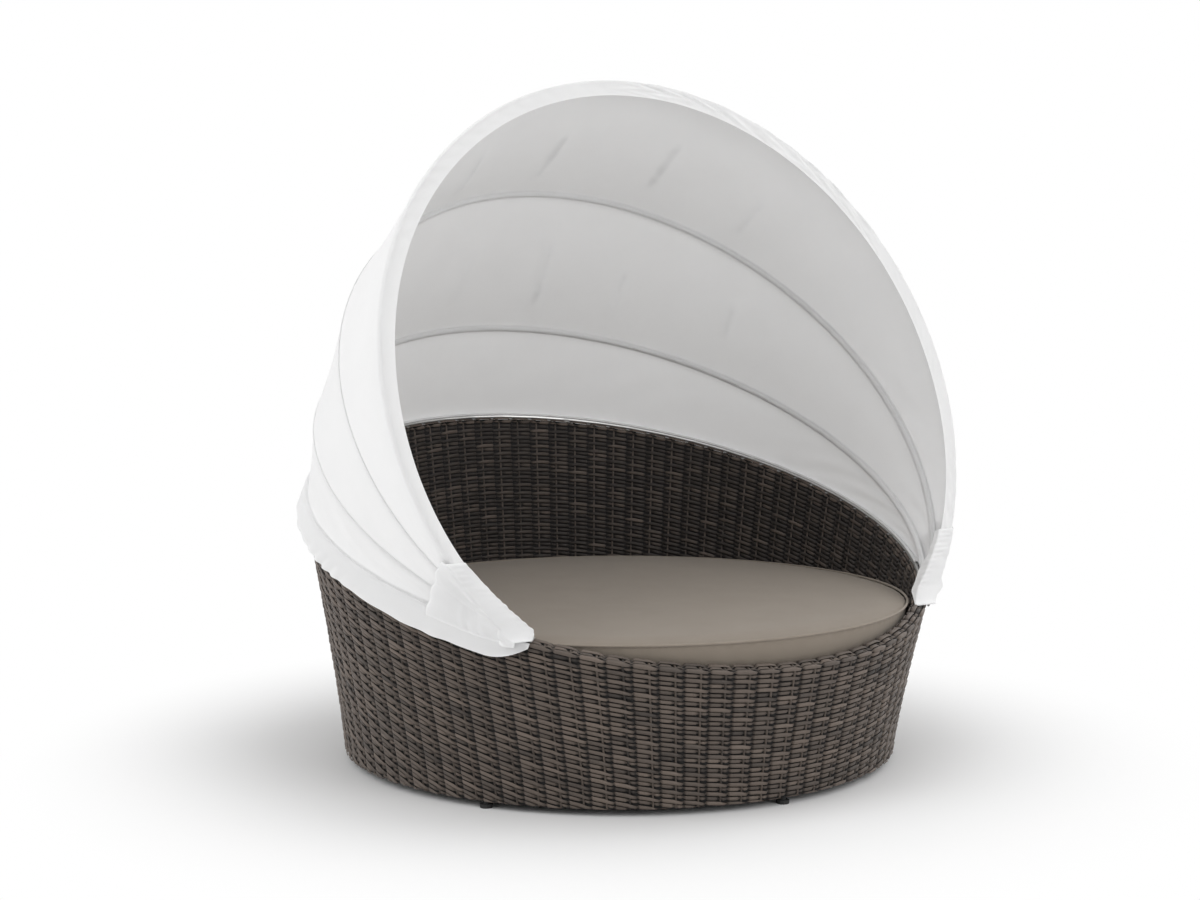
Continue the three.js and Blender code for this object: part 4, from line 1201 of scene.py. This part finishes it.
def finish_hardware():
    kinds = [
        (POWDER_COAT, ("base_ring", "seat_ring", "rim_ring", "upright", "deck")),
        (RUBBER, ("glide",)),
        (BRUSHED, ("rim_bow_clip", "pivot", "bracket")),
        (BARE_TUBE, ("rim_bow", "rear_bow", "middle_bow", "front_bow")),
    ]
    for name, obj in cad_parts.items():
        material = next((kind for kind, starts in kinds if name.startswith(starts)), None)
        if material is not None:
            obj.data.materials.clear()
            obj.data.materials.append(material)


# Stage, light and camera

def seen_ray(tree):
    """1 for rays that show the background: from the camera, in a reflection or through glass."""
    path = tree.nodes.new("ShaderNodeLightPath")
    total = math_node(tree, "MAXIMUM", path.outputs["Is Camera Ray"], path.outputs["Is Glossy Ray"])
    return math_node(tree, "MAXIMUM", total, path.outputs["Is Transmission Ray"])


def mix_shaders(tree, share, first, second, end):
    mix = tree.nodes.new("ShaderNodeMixShader")
    tree.links.new(share, mix.inputs["Fac"])
    tree.links.new(first, mix.inputs[1])
    tree.links.new(second, mix.inputs[2])
    tree.links.new(mix.outputs["Shader"], tree.nodes[end].inputs["Surface"])


def make_stage():
    """A floor that fades to white round the part, and a white background."""
    bpy.ops.mesh.primitive_plane_add(size=FLOOR_SIZE)
    floor = bpy.context.active_object
    floor.name = "floor"
    material, tree, bsdf = shader("floor", (0.93, 0.93, 0.93), 0.9)
    white = node(tree, "ShaderNodeEmission", Strength=1.0)
    place = node(tree, "ShaderNodeTexCoord")
    away = node(tree, "ShaderNodeVectorMath", operation="LENGTH")
    tree.links.new(place.outputs["Object"], away.inputs[0])
    fade = node(tree, "ShaderNodeMapRange", interpolation_type="SMOOTHSTEP",
                **{"From Min": FADE_FROM, "From Max": FADE_TO})
    tree.links.new(away.outputs["Value"], fade.inputs["Value"])
    share = math_node(tree, "MULTIPLY", fade.outputs["Result"], seen_ray(tree))
    mix_shaders(tree, share, bsdf.outputs["BSDF"], white.outputs["Emission"], "Material Output")
    floor.data.materials.append(material)

    world = bpy.data.worlds.new("studio")
    bpy.context.scene.world = world
    world.use_nodes = True
    tree = world.node_tree
    light = tree.nodes["Background"]
    white = tree.nodes.new("ShaderNodeBackground")
    for background, strength in ((light, WORLD_LEVEL), (white, 1.0)):
        background.inputs["Color"].default_value = (1, 1, 1, 1)
        background.inputs["Strength"].default_value = strength
    mix_shaders(tree, seen_ray(tree), light.outputs["Background"], white.outputs["Background"],
                "World Output")


def area_light(name, place, target, power):
    light = bpy.data.lights.new(name, "AREA")
    light.shape = "DISK"
    light.size = LAMP_SIZE
    light.energy = power
    obj = bpy.data.objects.new(name, light)
    obj.location = place
    obj.rotation_euler = (Vector(target) - Vector(place)).to_track_quat("-Z", "Y").to_euler()
    bpy.context.collection.objects.link(obj)


def make_camera():
    data = bpy.data.cameras.new("camera")
    data.sensor_width = CAMERA_SENSOR
    data.sensor_fit = "HORIZONTAL"
    data.lens = CAMERA_LENS
    data.clip_end = 200.0
    camera = bpy.data.objects.new("camera", data)
    camera.location = CAMERA_PLACE
    camera.rotation_euler = (math.pi / 2 - CAMERA_DOWN, 0.0, CAMERA_YAW)
    bpy.context.collection.objects.link(camera)
    bpy.context.scene.camera = camera


make_camera()
make_stage()
for lamp, settings in LAMPS.items():
    area_light(lamp, *settings)
make_tub()
make_cushion()
make_canopy()
finish_hardware()
bpy.context.scene.view_settings.view_transform = "Standard"
